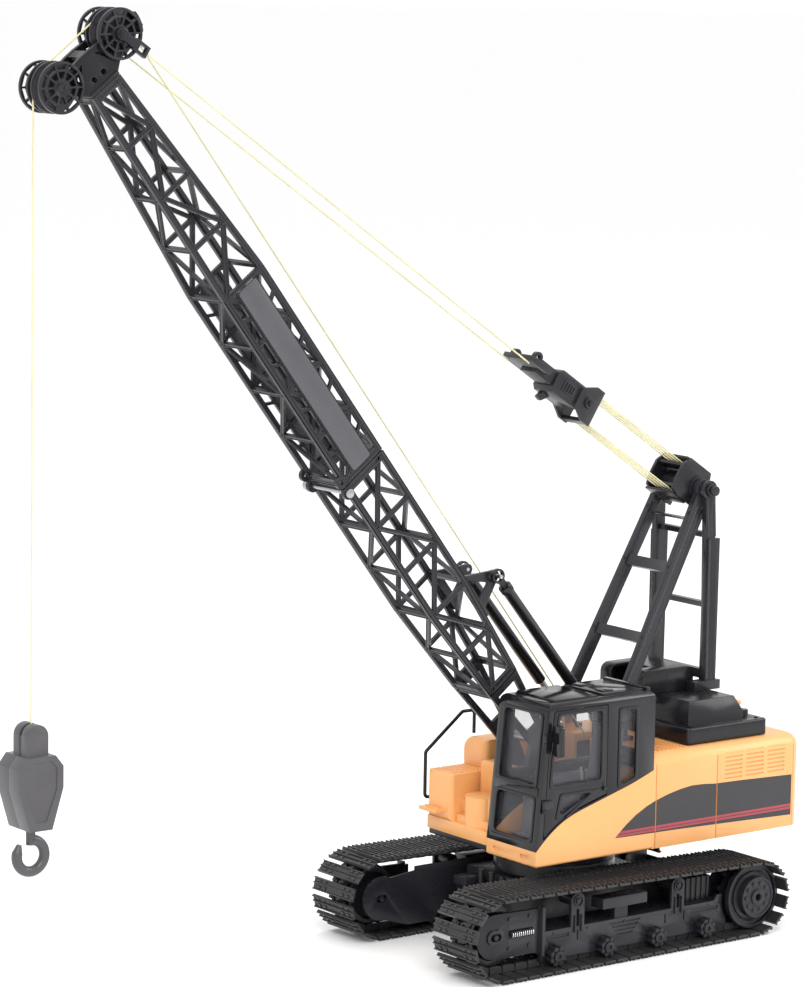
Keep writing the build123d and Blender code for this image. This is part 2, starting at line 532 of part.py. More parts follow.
def cab_shell():
    shell = cab_prism(0.05, CAB_INNER_Y, BODY_HALF)
    roof = [e for e in shell.edges() if e.center().Z > CAB_TOP - 0.1]
    shell = fillet(roof, 5)
    shell -= side_plate([(CAB_REAR + WALL, DECK_Z), (front_face(DECK_Z) - WALL, DECK_Z),
                         (front_face(CAB_TOP - WALL) - WALL, CAB_TOP - WALL), (CAB_REAR + WALL, CAB_TOP - WALL)],
                        CAB_INNER_Y + WALL, BODY_HALF - WALL)
    shell -= side_plate(QUARTER_WINDOW, BODY_HALF - 5, BODY_HALF + 1)
    shell -= cab_door_blank(BODY_HALF - WALL - 1, BODY_HALF + 1, 0.0)
    shell -= side_plate([(-24, 130), (52, 130), (50, 178), (-24, 178)], CAB_INNER_Y - 1, CAB_INNER_Y + 3)
    shell -= box(CAB_REAR - 1, CAB_REAR + 4, 18, 58, 140, 177)
    shell -= box(55, 80, 17, 59, 127, 178)
    shell -= box(55, 80, 17, 59, 88, 119)
    # lower light of the floor, roof hatches and the rear bar
    shell += [box(-30, 8, 16, 60, CAB_TOP - 0.3, CAB_TOP + 1.2), box(14, 52, 16, 60, CAB_TOP - 0.3, CAB_TOP + 1.2)]
    shell += box(-34, -30.5, 14, 62, CAB_TOP - 0.3, CAB_TOP + 2)
    shell += [box(-6, 4, y, y + 8, CAB_TOP, CAB_TOP + 2.2) for y in (22, 46)]
    shell += box(66.4, 68.6, 14, 62, 119.5, 126.5)
    return shell


def cab_windows():
    panes = [side_plate([(-21, 123), (-1, 117), (-1, 178), (-21, 178)], BODY_HALF - WALL - 1.3, BODY_HALF - WALL - 0.1)]
    y0 = CAB_INNER_Y + WALL + 0.1
    panes.append(side_plate([(-26, 128), (54, 128), (52, 180), (-26, 180)], y0, y0 + 1.2))
    panes.append(box(CAB_REAR + WALL + 0.1, CAB_REAR + WALL + 1.3, 16, 60, 138, 179))
    lean = (CAB_FRONT - ROOF_FRONT) / (CAB_TOP - 81.5)
    for z0, z1 in ((125, 179.5), (86.5, 120.5)):
        x0 = CAB_FRONT - WALL - 0.3 - lean * (z0 - 81.5)
        x1 = CAB_FRONT - WALL - 0.3 - lean * (z1 - 81.5)
        panes.append(side_plate([(x0, z0), (x1, z1), (x1 - 1.2, z1), (x0 - 1.2, z0)], 15.5, 60.5))
    return panes


HINGE_X = 66.8
HINGE_Y = BODY_HALF + 1.3


def cab_door():
    """Door leaf with both windows cut out, its pull handle and the two hinge knuckles."""
    leaf = cab_door_blank(BODY_HALF - WALL + 0.6, BODY_HALF, 0.5)
    leaf -= side_plate(SIDE_WINDOW, BODY_HALF - 5, BODY_HALF + 2) + side_plate(LOW_WINDOW, BODY_HALF - 5, BODY_HALF + 2)
    leaf -= side_plate([(61, 88), (67, 88), (67, 94.5)], BODY_HALF - 5, BODY_HALF + 2)
    rail = side_plate([(44, 104), (46.5, 104), (26, 117), (23.5, 117)], BODY_HALF - 0.4, BODY_HALF + 1.0)
    leaf += rail + disc(11, 120.5, 1.6, BODY_HALF - 0.5, BODY_HALF + 2.0)
    for z in (112, 160):
        x = 59.0 if z > 150 else 63.3
        leaf += box(x - 4.5, x, BODY_HALF - 0.4, HINGE_Y + 0.6, z, z + 6)
        leaf += box(x - 1, HINGE_X - 0.5, BODY_HALF + 0.35, HINGE_Y + 0.6, z, z + 6)
        leaf += rod((HINGE_X, HINGE_Y, z), (HINGE_X, HINGE_Y, z + 6), 1.3)
    leaf -= rod((HINGE_X, HINGE_Y, 100), (HINGE_X, HINGE_Y, 170), 0.6)
    # mirror on its arm
    head = fillet(box(57.4, 60.6, 68.2, 77.2, 150, 172).edges().filter_by(Axis.X), 2.5)
    return leaf + head + rod((59, 70, 160), (59, 65.8, 160), 1.0)


def door_glass():
    y1 = BODY_HALF - WALL + 0.5
    upper = side_plate([(11, 125), (61, 125), (59.4, 150), (54.6, 180), (11, 180)], y1 - 1.2, y1)
    lower = side_plate([(56, 101.8), (51, 122.5), (12, 122.5), (33, 111.6)], y1 - 1.2, y1)
    return [upper, lower]


def cab_fittings():
    """Hinge pintles and the windscreen wiper."""
    pins = []
    for z in (112, 160):
        pins.append(rod((HINGE_X, HINGE_Y, z - 2.6), (HINGE_X, HINGE_Y, z + 5.2), 0.55)
                    + rod((HINGE_X, HINGE_Y, z - 3), (HINGE_X, HINGE_Y, z - 0.3), 1.3)
                    + box(62.3 if z > 150 else 66.6, HINGE_X + 1, BODY_HALF + 0.03, HINGE_Y + 0.4, z - 3, z - 0.3))
    wiper = rod((70.9, 24, 122), (69.9, 56, 126), 0.6) + rod((70.4, 40, 124), (68.75, 40, 124), 1.0)
    return pins + [wiper]


def seat():
    floor = DECK_Z + DECK_THICK + 0.05
    base = box(-12, 14, 24, 52, floor, 104) + box(-10, 18, 22, 54, 104, 112)
    back = side_plate([(-14, 108), (-6, 108), (-14, 158), (-20, 158)], 25, 51)
    consoles = [box(-10, 28, y, y + 6, floor, 122) for y in (15, 55)]
    dash = box(30, 58, 22, 54, floor, 86) + box(36, 52, 26, 40, 85, 112)
    levers = [rod((24, y + 3, 121), (26, y + 3, 136), 1.2) for y in (15, 55)]
    return base + [back, dash] + consoles + levers + [box(-12, 56, 20, 58, floor, 80)]


# ---- boom ---------------------------------------------------------------

BOOM_PLACE = Location((FOOT_X, BOOM_Y, FOOT_Z), (0, -BOOM_ANGLE, 0))
LOWER_END = FIRST_NODE + LOWER_BAYS * BAY
STRAIGHT_END = LOWER_END + STRAIGHT_BAYS * BAY
TIP = STRAIGHT_END + TAPER_BAYS * BAY
SHEAVE_U = TIP + HEAD_REACH


def inset_polygon(points, amounts):
    """Move each side of a counter-clockwise polygon inward by its own amount."""
    n = len(points)
    sides = []
    for i in range(n):
        (x0, y0), (x1, y1) = points[i], points[(i + 1) % n]
        length = math.hypot(x1 - x0, y1 - y0)
        nx, ny = -(y1 - y0) / length, (x1 - x0) / length
        sides.append((nx, ny, nx * x0 + ny * y0 + amounts[i]))
    corners = []
    for i in range(n):
        a, b = sides[i - 1], sides[i]
        det = a[0] * b[1] - a[1] * b[0]
        corners.append(((a[2] * b[1] - b[2] * a[1]) / det, (a[0] * b[2] - b[0] * a[2]) / det))
    return corners


def counter_clockwise(points):
    area = sum(p[0] * q[1] - q[0] * p[1] for p, q in zip(points, points[1:] + points[:1]))
    return points if area > 0 else points[::-1]


def lattice(bottom, top, thick, frame, flip=0, end_bars=(BRACE, BRACE)):
    """Plate between two chords with triangular windows: posts at the nodes, alternate diagonals."""
    outline = counter_clockwise([bottom[0], bottom[-1], top[-1], top[0]])
    if len(bottom) > 2:
        outline = counter_clockwise(list(bottom) + list(top)[::-1])
    windows = []
    for k in range(len(bottom) - 1):
        a, b, c, d = bottom[k], bottom[k + 1], top[k + 1], top[k]
        first = end_bars[0] if k == 0 else BRACE / 2
        last = end_bars[1] if k == len(bottom) - 2 else BRACE / 2
        if (k + flip) % 2:
            windows.append(inset_polygon([a, b, c], [CHORD, last, BRACE / 2]))
            windows.append(inset_polygon([a, c, d], [BRACE / 2, CHORD, first]))
        else:
            windows.append(inset_polygon([a, b, d], [CHORD, BRACE / 2, first]))
            windows.append(inset_polygon([b, c, d], [last, CHORD, BRACE / 2]))
    sketch = make_face(Polyline(*outline, close=True))
    for w in windows:
        sketch -= make_face(Polyline(*w, close=True))
    return extrude(frame * sketch, amount=thick)


def box_section(u0, u1, w0, w1, d0, d1, bays, end_bars):
    """Four lattices closed into a tube: half-widths w and half-depths d at both ends."""
    run = u1 - u0
    parts = []
    steps = [k / bays for k in range(bays + 1)]
    lean = (w1 - w0) / run
    # side lattices, in planes that follow the width
    scale = math.hypot(run, w1 - w0)
    frame = Plane(origin=(u0, w0, 0), x_dir=(run, w1 - w0, 0), z_dir=(lean, -1, 0))
    depth = [d0 + (d1 - d0) * t for t in steps]
    # seen from inside the plane's y points down the boom's depth
    bottom = [(scale * t, -d) for t, d in zip(steps, depth)]
    top = [(scale * t, d) for t, d in zip(steps, depth)]
    panel = lattice(bottom, top, LATTICE, frame, 0, end_bars)
    parts += [panel, mirror_y(panel)]
    # top and bottom lattices
    slope = (d1 - d0) / run
    for s in (-1, 1):
        frame = Plane(origin=(u0, 0, s * d0), x_dir=(run, 0, s * (d1 - d0)), z_dir=(-s * slope, 0, 1))
        scale = math.hypot(run, d1 - d0)
        width = [w0 + (w1 - w0) * t for t in steps]
        bottom = [(scale * t, -w) for t, w in zip(steps, width)]
        top = [(scale * t, w) for t, w in zip(steps, width)]
        panel = lattice(bottom, top, LATTICE, frame, 1, end_bars)
        if s > 0:
            panel = panel.moved(Location(frame.z_dir * -LATTICE))
        parts.append(panel)
    return parts


def boom_frames(sections, side_extras, bottom_extras, top_extras):
    """Two side frames with a bottom and a top frame let in between them."""
    frames = []
    for k, extras in ((0, side_extras(1)), (1, side_extras(-1)), (2, bottom_extras), (3, top_extras)):
        frame = sections[0][k] + sections[1][k]
        if extras:
            frame += extras
        if k == 2:
            frame -= frames[:2]
        if k == 3:
            frame -= frames[:3]
        frames.append(frame)
    return frames


def lower_side(s):
    """Foot plate and the boss of the section pin, on one side."""
    y0, y1 = sorted((s * HALF_WIDTH, s * (HALF_WIDTH - LATTICE)))
    foot = side_plate([(-4, -FOOT_HALF_DEPTH), (FIRST_NODE + 2, -BASE_HALF_DEPTH),
                       (FIRST_NODE + 2, BASE_HALF_DEPTH), (-4, FOOT_HALF_DEPTH)], y0, y1)
    foot -= side_plate([(14, -4.5), (FIRST_NODE - 4, -10), (FIRST_NODE - 4, 10), (14, 4.5)], y0 - 1, y1 + 1)
    return [foot + disc(0, 0, FOOT_HALF_DEPTH, y0, y1), disc(LOWER_END - 5, -HALF_DEPTH, 4.6, y0, y1)]


def strut_lug(s):
    """Triangular lug that stands up to the strut's upper pin."""
    y0, y1 = s * (STRUT_Y - 6.4), s * (STRUT_Y - 3.4)
    lug = side_plate([(FIRST_NODE + 1.2 * BAY, HALF_DEPTH - 3), (FIRST_NODE + 2.1 * BAY, HALF_DEPTH - 3),
                      (STRUT_PIN_U + 3.6, STRUT_PIN_V + 1), (STRUT_PIN_U - 3.6, STRUT_PIN_V + 1)], y0, y1)
    lug += disc(STRUT_PIN_U, STRUT_PIN_V, 3.8, y0, y1)
    return lug + box(FIRST_NODE + 1.2 * BAY, FIRST_NODE + 2.1 * BAY, y0, s * (HALF_WIDTH - 1),
                     HALF_DEPTH - 3.2, HALF_DEPTH)


def boom_lower():
    """Foot, two bays that open out and three straight bays, with the strut brackets."""
    mid = FIRST_NODE + 2 * BAY
    base = box_section(FIRST_NODE, mid, HALF_WIDTH, HALF_WIDTH, BASE_HALF_DEPTH, HALF_DEPTH, 2, (4.5, BRACE / 2))
    straight = box_section(mid, LOWER_END - SECTION_GAP, HALF_WIDTH, HALF_WIDTH, HALF_DEPTH, HALF_DEPTH,
                           LOWER_BAYS - 2, (BRACE / 2, 5.0))
    foot_bar = box(FIRST_NODE - 3, FIRST_NODE + 2, -HALF_WIDTH + 1, HALF_WIDTH - 1, -BASE_HALF_DEPTH + 0.5,
                   -BASE_HALF_DEPTH + 4)
    frames = boom_frames([base, straight], lower_side, [foot_bar], [strut_lug(-1), strut_lug(1)])
    holes = [disc(0, 0, 3.0 + SHAFT_PLAY, -30, 30), disc(LOWER_END - 5, -HALF_DEPTH, 1.6, -30, 30),
             disc(STRUT_PIN_U, STRUT_PIN_V, 1.5, -30, 30)]
    return [solid for frame in frames for solid in (frame - holes).solids()]


def upper_side(s):
    """Boss of the section pin on one side."""
    boss = disc(LOWER_END + 5, -HALF_DEPTH, 4.6, s * (HALF_WIDTH - LATTICE), s * HALF_WIDTH)
    return [boss - disc(LOWER_END + 5, -HALF_DEPTH, 1.6, s * 15, s * 30)]


def boom_upper():
    """Straight bays that match the lower section, then bays that narrow to the head."""
    straight = box_section(LOWER_END + SECTION_GAP, STRAIGHT_END, HALF_WIDTH, HALF_WIDTH, HALF_DEPTH, HALF_DEPTH,
                           STRAIGHT_BAYS, (5.0, BRACE / 2))
    taper = box_section(STRAIGHT_END, TIP, HALF_WIDTH, TIP_HALF_WIDTH, HALF_DEPTH, TIP_HALF_DEPTH,
                        TAPER_BAYS, (BRACE / 2, 4.0))
    end = box(TIP - 3, TIP, -TIP_HALF_WIDTH + 1, TIP_HALF_WIDTH - 1, -TIP_HALF_DEPTH + 1, TIP_HALF_DEPTH - 1)
    frames = boom_frames([straight, taper], upper_side, [end], [])
    return [solid for frame in frames for solid in frame.solids()]


PANEL_OUT = 1.8              # name-plate panels stand this far off the side lattice


def boom_panels():
    """Plain cover panels on both sides of the straight upper bays."""
    panels = []
    for s in (-1, 1):
        y0, y1 = s * HALF_WIDTH, s * (HALF_WIDTH + PANEL_OUT)
        panels.append(box(LOWER_END + 5, STRAIGHT_END - 2, y0, y1, -8.2, 9.2))
    return panels


def head_plate(s):
    y0, y1 = s * 7.0, s * 10.0
    u, v = SHEAVE_U, SHEAVE_V
    outline = [(TIP + 1, -TIP_HALF_DEPTH), (TIP + 1, TIP_HALF_DEPTH), (u - 4.5, v + 3), (u + 3.5, v + 2.5),
               (u + 5.5, 4), (u + 5.5, -4), (u + 3.5, -v - 2.5), (u - 4.5, -v - 3)]
    plate = side_plate(outline, y0, y1) + disc(u, v, 5, y0, y1) + disc(u, -v, 5, y0, y1)
    return plate + side_plate([(u - 7.5, v), (u + 1, v), (u - 1, v + SHEAVE_R + 2.0),
                               (u - 7.5, v + SHEAVE_R + 1.6)], y0, y1)


def boom_head():
    """Two cheek plates on a base plate, with the rope guard over the upper sheaves."""
    u, v = SHEAVE_U, SHEAVE_V
    base = box(TIP + 0.1, TIP + 2.6, -TIP_HALF_WIDTH, TIP_HALF_WIDTH, -TIP_HALF_DEPTH, TIP_HALF_DEPTH)
    tie = box(u + 1.5, u + 5, -9, 9, -3.5, 3.5)
    guard = ring(u, v, SHEAVE_R + 2.8, SHEAVE_R + 1.0, -9.5, 9.5)
    guard = guard & box(u - 11, u + 3, -20, 20, v + 5, v + 40)
    head = base + [tie, head_plate(1), head_plate(-1), guard]
    for t in (-1, 1):
        head -= side_plate([(TIP + 12, t * 13), (u + 1.5, t * 6), (u - 2, t * 20), (u - 5, t * 20)], -12, 12)
        head -= disc(TIP + 8, t * 4.4, 2.0, -12, 12)
        head -= disc(u, t * v, SHEAVE_AXLE_R + 0.01, -12, 12)
    return head


def spoke_window(u, v, k, r0, r1, y0, y1):
    """One of ten openings between two radii, with spokes of even thickness on both sides."""
    corners = []
    for r, side in ((r0, -1), (r1, -1), (r1, 1), (r0, 1)):
        a = math.radians(36 * k) + side * (math.radians(18) - math.asin(SPOKE / 2 / r))
        corners.append((u + r * math.cos(a), v + r * math.sin(a)))
    return side_plate(corners, y0, y1)


def sheave_set(v):
    """Hub, rope groove and four flanges, the outer two with spokes, turning on one axle."""
    u = SHEAVE_U
    wheel = disc(u, v, GROOVE_R, -1.6, 1.6)
    for y0, y1 in ((10.4, 12.8), (-12.8, -10.4), (1.6, 3.2), (-3.2, -1.6)):
        flange = disc(u, v, SHEAVE_R, y0, y1)
        if abs(y0) > 5:
            for r0, r1 in ((12.1, 15.6), (6.0, 10.6)):
                flange -= [spoke_window(u, v, k, r0, r1, y0 - 1, y1 + 1) for k in range(10)]
        wheel += flange
    wheel += disc(u, v, 4.2, -6.6, 6.6)
    wheel -= disc(u, v, SHEAVE_AXLE_R + SHAFT_PLAY, -20, 20)
    return list(wheel.solids())


def boom_pins():
    """Foot pin, section pins with their cross knobs, and both sheave axles."""
    pins = [disc(0, 0, 3.0, -HALF_WIDTH, HALF_WIDTH)]
    cross = disc(LOWER_END - 5, -HALF_DEPTH, 1.55, -HALF_WIDTH - 3, HALF_WIDTH + 1)
    cross += disc(LOWER_END - 5, -HALF_DEPTH, 4.0, -HALF_WIDTH - 5, -HALF_WIDTH - 1)
    cross += disc(LOWER_END - 5, -HALF_DEPTH, 3.2, HALF_WIDTH + 0.05, HALF_WIDTH + 2)
    pins.append(cross)
    for v in (-SHEAVE_V, SHEAVE_V):
        axle = disc(SHEAVE_U, v, SHEAVE_AXLE_R, -16.5, 16.5)
        pins.append(axle)
    for s in (-1, 1):
        pins.append(disc(STRUT_PIN_U, STRUT_PIN_V, 1.48, s * (STRUT_Y - 6.4), s * (STRUT_Y + 4.6)))
    return pins


# ---- ropes --------------------------------------------------------------

def boom_point(u, v):
    a = math.radians(BOOM_ANGLE)
    return FOOT_X + u * math.cos(a) - v * math.sin(a), FOOT_Z + u * math.sin(a) + v * math.cos(a)


ROPE_LINE_R = GROOVE_R + ROPE_R + 0.2
FALL_START = 10.0           # degrees of the front sheave's groove that the fall's own rope covers


def rope_back():
    """Hoist rope: out of the body, along the boom, over the upper sheave and round the front one."""
    v1 = SHEAVE_V + ROPE_LINE_R
    u1 = SHEAVE_U
    wrap = math.radians(BOOM_ANGLE - FALL_START - 4)
    straight = rod((-43, 0, v1 + 1.6), (u1, 0, v1), ROPE_R)
    points = [arc_point(u1, SHEAVE_V, math.radians(90 - 15 * k)) for k in range(7)]
    points += [arc_point(u1, -SHEAVE_V, -wrap * k / 4) for k in range(5)]
    pieces = [rod(p, q, ROPE_R) for p, q in zip(points, points[1:])]
    knots = [Pos(*p) * Sphere(ROPE_R) for p in points[:-1]]
    return straight + pieces + knots


def arc_point(u, v, a):
    return u + ROPE_LINE_R * math.cos(a), 0, v + ROPE_LINE_R * math.sin(a)


SHEAVE_X, SHEAVE_Z = boom_point(SHEAVE_U, -SHEAVE_V)
FALL_X = SHEAVE_X + ROPE_LINE_R


def rope_fall():
    """Vertical fall from the front sheave to the hook block, with the last degrees of the groove."""
    points = []
    for k in range(4):
        a = math.radians(FALL_START * (3 - k) / 3)
        points.append((SHEAVE_X + ROPE_LINE_R * math.cos(a), BOOM_Y, SHEAVE_Z + ROPE_LINE_R * math.sin(a)))
    pieces = [rod(p, q, ROPE_R) for p, q in zip(points, points[1:])]
    knots = [Pos(*p) * Sphere(ROPE_R) for p in points[1:]]
    fall = rod((FALL_X, BOOM_Y, SHEAVE_Z), (FALL_X, BOOM_Y, HOOK_BLOCK_TOP - 0.05), ROPE_R)
    return fall + pieces + knots


UPPER_X, UPPER_Z = boom_point(SHEAVE_U, SHEAVE_V)
LINE_ANGLE = math.degrees(math.atan2(UPPER_Z - GANTRY_Z, UPPER_X - GANTRY_X))
LINE_LENGTH = math.hypot(UPPER_Z - GANTRY_Z, UPPER_X - GANTRY_X)
LINE_PLACE = Location((GANTRY_X, BOOM_Y, GANTRY_Z), (0, -LINE_ANGLE, 0))


def bridle():
    """Floating block of the suspension: two cheeks, a sheave housing and the ears for the pendants."""
    r, f = BRIDLE_REAR, BRIDLE_FRONT
    body = box(r + 12, r + 44, -11, 11, -9, 9)
    body = chamfer(body.edges().filter_by(Axis.Y), 3.0)
    body += box(r + 40, r + 62, -8.5, 8.5, -5, 6)
    bill = box(r + 54, f + 2, -16, 16, -2.5, 1.5)
    ears = []
    for s in (-1, 1):
        ears.append(ring(f - 5, 3.6, 4.0, 1.7, s * (ROPE_SPREAD - 1.8), s * (ROPE_SPREAD + 1.8)))
        ears.append(side_plate([(r, -14), (r + 8, -14), (r + 20, -7), (r + 20, 7), (r + 8, 14), (r, 14)],
                               s * 11, s * 13.4))
        ears.append(box(r + 24, r + 36, s * 10.5, s * 11.8, -4, 4))
    spreaders = [box(r + 1, r + 6, -13, 13, v - 1.5, v + 1.5) for v in (-12, 12)]
    axle = disc(r + 10, 0, 4.2, -15.5, 15.5) + disc(r + 10, 0, 2.2, -18, 18)
    hook = side_plate([(r + 30, -8), (r + 38, -8), (r + 40, -14), (r + 36, -15)], -8, -4)
    block = body + [bill, axle, hook] + ears + spreaders
    block -= [box(r + 25.5 + 2.6 * k, r + 26.8 + 2.6 * k, 11.0, 12.5, -3, 3) for k in range(4)]
    clips = []
    for s in (-1, 1):
        y0, y1 = s * 13.6, s * 16.2
        start = LINE_LENGTH
        clip = disc(start, 0, 4.0, y0, y1) + box(start - 12, start, y0, y1, -3.0, 3.0)
        clip += box(start - 23, start - 11, s * 12.8, s * 16.2, -4, 4)
        clip -= box(start - 20.5, start - 14.5, s * 12, s * 18, -2.2, 2.2)
        clips.append(clip - disc(start, 0, SHEAVE_AXLE_R + SHAFT_PLAY, s * 12, s * 18))
    return [block] + clips


def pendants():
    lines = []
    for s in (-1, 1):
        lines.append(rod((BRIDLE_FRONT - 0.9, s * ROPE_SPREAD, 3.6), (LINE_LENGTH - 23.1, s * 14.5, 0.2), ROPE_R))
    return lines


HEAD_SHEAVE_R = 10.0


def luffing_rope():
    """Eight falls between the bridle and the gantry head, four over and four under its roller."""
    falls = []
    for k in range(4):
        y = -7.5 + 5.0 * k
        for s in (-1, 1):
            v = s * (HEAD_SHEAVE_R + 0.9)
            falls.append(rod((4.0, y, v), (BRIDLE_REAR + 0.9, y * 0.8, v), ROPE_R))
    return falls


# ---- gantry -------------------------------------------------------------

def gantry_front_legs():
    top_z, foot_z = GANTRY_Z, 168.0
    foot_x = LEG_FOOT_X - 1
    bars = []
    for s in (-1, 1):
        top = (GANTRY_X + 3, BOOM_Y + s * GANTRY_TOP_HALF, top_z - 4)
        knee = (foot_x, BOOM_Y + s * GANTRY_FOOT_HALF, foot_z)
        bars.append(bar(top, knee, 5.0, 9.0))
        bars.append(disc(GANTRY_X, top_z, 7.5, top[1] - 2.5, top[1] + 2.5))
        bars.append(box(foot_x - 4.5, foot_x + 4.5, knee[1] - 2.5, knee[1] + 2.5, BODY_TOP + 0.65, foot_z + 2))
        bars.append(box(foot_x - 8, foot_x + 8, knee[1] - 5, knee[1] + 5, BODY_TOP + 0.65, BODY_TOP + 3.5))
    for t in (0.10, 0.36, 0.70):
        x = GANTRY_X + 3 + (foot_x - GANTRY_X - 3) * t
        z = top_z - 4 + (foot_z - top_z + 4) * t
        half = GANTRY_TOP_HALF + (GANTRY_FOOT_HALF - GANTRY_TOP_HALF) * t
        cross = bar((x, BOOM_Y - half, z), (x, BOOM_Y + half, z), 5.5, 8.0, (0.91, 0, 0.42))
        bars.append(cross)
    body = bars[0] + bars[1:]
    body -= disc(GANTRY_X, GANTRY_Z, HEAD_AXLE_R + SHAFT_PLAY, BOOM_Y - 40, BOOM_Y + 40)
    return body - box(GANTRY_X - 11.5, GANTRY_X + 28, BOOM_Y - 18.5, BOOM_Y + 18.5, GANTRY_Z - 21, GANTRY_Z + 30)


def gantry_rear_posts():
    bars = []
    foot = 172.5
    for s in (-1, 1):
        y_top, y_foot = BOOM_Y + s * (GANTRY_TOP_HALF + 5.6), BOOM_Y + s * GANTRY_FOOT_HALF
        bars.append(bar((GANTRY_X - 1, y_top, GANTRY_Z - 1), (REAR_POST_X, y_foot, foot), 4.6, 9.0))
        bars.append(bar((REAR_POST_X - 0.8, (y_top + y_foot) / 2 + s * 0.6, 282), (REAR_POST_X, y_foot, foot), 6.6, 10.5))
        bars.append(disc(GANTRY_X, GANTRY_Z, 7.0, y_top - 2.3, y_top + 2.3))
        bars.append(box(REAR_POST_X - 9, REAR_POST_X + 16, y_foot - 4.5, y_foot + 4.5, 169.1, 176))
    for z, thick in ((284, 4.0), (232, 4.0), (180, 7.0)):
        bars.append(box(REAR_POST_X - 2.5, REAR_POST_X + 2.5, BOOM_Y - 29, BOOM_Y + 29, z - thick / 2, z + thick / 2))
    body = bars[0] + bars[1:]
    return body - disc(GANTRY_X, GANTRY_Z, HEAD_AXLE_R + SHAFT_PLAY, BOOM_Y - 60, BOOM_Y + 60)


def gantry_head():
    """Swivelling rope block: roller housing, guide lips, end discs and the axle stubs."""
    block = disc(0, 0, HEAD_SHEAVE_R, -13.5, 13.5)
    for s in (-1, 1):
        cheek = side_plate([(-9, -14), (13, -14), (20, -12), (22, -4), (22, 8), (18, 15.5), (-6, 15.5), (-9, 8)],
                           s * 13.2, s * 15.6)
        block += cheek
        lip = HEAD_SHEAVE_R + 0.9
        block += box(3, 20, -14, 14, s * (lip + 2.6), s * (lip + 4.4))
        block += box(11, 20, -14, 14, s * (lip - 3.4), s * (lip - 1.2))
        block += disc(0, 0, 9.0, s * 15.4, s * 18.0)
    block += disc(0, 0, HEAD_AXLE_R, -36, 36) + disc(0, 0, 4.6, 30.6, 33) + disc(0, 0, 4.6, -33, -30.6)
    block += disc(0, 0, 3.6, 34, 36.5) + disc(0, 0, 3.6, -36.5, -34)
    return block


def winch_cover():
    """Rounded black housing on the hood, under the rear posts."""
    cover = box(-122, -72, BOOM_Y - 24, BOOM_Y + 24, 169.05, 187)
    cover = fillet([e for e in cover.edges().filter_by(Axis.Y) if e.center().Z > 180], 7)
    return cover - box(-119, -75, BOOM_Y - 21, BOOM_Y + 21, 168, 184) - box(-90, -70, BOOM_Y - 12, BOOM_Y + 12, 172, 190)


def drum(x, z, y0, y1, core, flange):
    """Winch drum with its wound rope shown as a plain core."""
    body = disc(x, z, core, y0, y1)
    for y in (y0, y1):
        body += disc(x, z, flange, y - 1.2, y + 1.2)
    return body + disc(x, z, 2.0, y0 - 13.4, y1 + 13.4)


HOIST_DRUM = (-53.0, 107.0)
LUFF_DRUM = (-96.0, 118.0)


def winch_frame():
    """Cross plates that carry both drums and the slewing motor inside the house."""
    plates = []
    for y in (BOOM_Y - 26, BOOM_Y + 26):
        plate = box(-106, -36 - WALL - 1, y - 1.5, y + 1.5, DECK_Z + 1, 130)
        for x, z in (HOIST_DRUM, LUFF_DRUM):
            plate -= disc(x, z, 2.0 + SHAFT_PLAY, y - 5, y + 5)
        plates.append(plate)
    return plates


def battery_pack():
    cells = [rod((-160, y, 86), (-112, y, 86), 8.6) for y in (-26, -8, 10, 28)]
    case = box(-162, -110, -38, 40, DECK_Z + DECK_THICK + 0.05, 82)
    return case + cells


def circuit_board():
    board = box(-170, -112, -40, 44, 104, 105.6)
    chips = [box(-160 + 14 * k, -151 + 14 * k, y, y + 9, 105.5, 108) for k in range(4) for y in (-28, 6)]
    posts = [rod((x, y, DECK_Z + DECK_THICK + 0.05), (x, y, 104.5), 2) for x in (-166, -116) for y in (-42.5, 46)]
    tabs = [box(x - 3, x + 3, y - 3, y + 3, 104, 105.6) for x in (-166, -116) for y in (-42, 45.5)]
    return board + chips + posts + tabs


def slew_motor():
    return rod((-24, 34, DECK_Z + DECK_THICK + 0.05), (-24, 34, 77), 9) + rod((-24, 34, 76), (-24, 34, 77.6), 4)


# ---- backstop struts ----------------------------------------------------

STRUT_TOP = boom_point(STRUT_PIN_U, STRUT_PIN_V)
STRUT_ANGLE = math.degrees(math.atan2(STRUT_TOP[1] - STRUT_FOOT[1], STRUT_TOP[0] - STRUT_FOOT[0]))
STRUT_LENGTH = math.hypot(STRUT_TOP[1] - STRUT_FOOT[1], STRUT_TOP[0] - STRUT_FOOT[0])
STRUT_PLACE = Location((STRUT_FOOT[0], BOOM_Y, STRUT_FOOT[1]), (0, -STRUT_ANGLE, 0))


def strut_barrels():
    """Upper tubes with the clevis that rides loosely on the boom's cross pin."""
    tubes = []
    for s in (-1, 1):
        y = s * STRUT_Y
        start, end = 40.0, STRUT_LENGTH - 12
        tube = rod((start, y, 0), (end, y, 0), STRUT_R) + rod((end - 3, y, 0), (end + 2, y, 0), STRUT_R + 0.7)
        tube -= rod((start - 1, y, 0), (end - 8, y, 0), 2.6)
        eye = disc(STRUT_LENGTH, 0, 5.4, y - 1.6, y + 1.6) + box(end, STRUT_LENGTH - 3, y - 1.6, y + 1.6, -2.4, 2.4)
        tubes.append(tube + (eye - disc(STRUT_LENGTH, 0, 3.9, y - 5, y + 5)))
    return tubes


def strut_rods():
    rods = []
    for s in (-1, 1):
        y = s * STRUT_Y
        for t in (-1, 1):
            cheek = disc(0, 0, 3.6, y + t * 1.8, y + t * 3.4) + box(0, 12, y + t * 1.8, y + t * 3.4, -2.6, 2.6)
            rods.append(cheek)
        rods.append(box(7, 13, y - 3.4, y + 3.4, -2.6, 2.6) + rod((12, y, 0), (STRUT_LENGTH - 44, y, 0), 2.5))
        rods.append(disc(0, 0, 1.5, y - 3.4, y + 3.4))
    left = rods[4:]
    right = rods[:4]
    return [right[0] + right[1:], left[0] + left[1:]]


# ---- hook ---------------------------------------------------------------

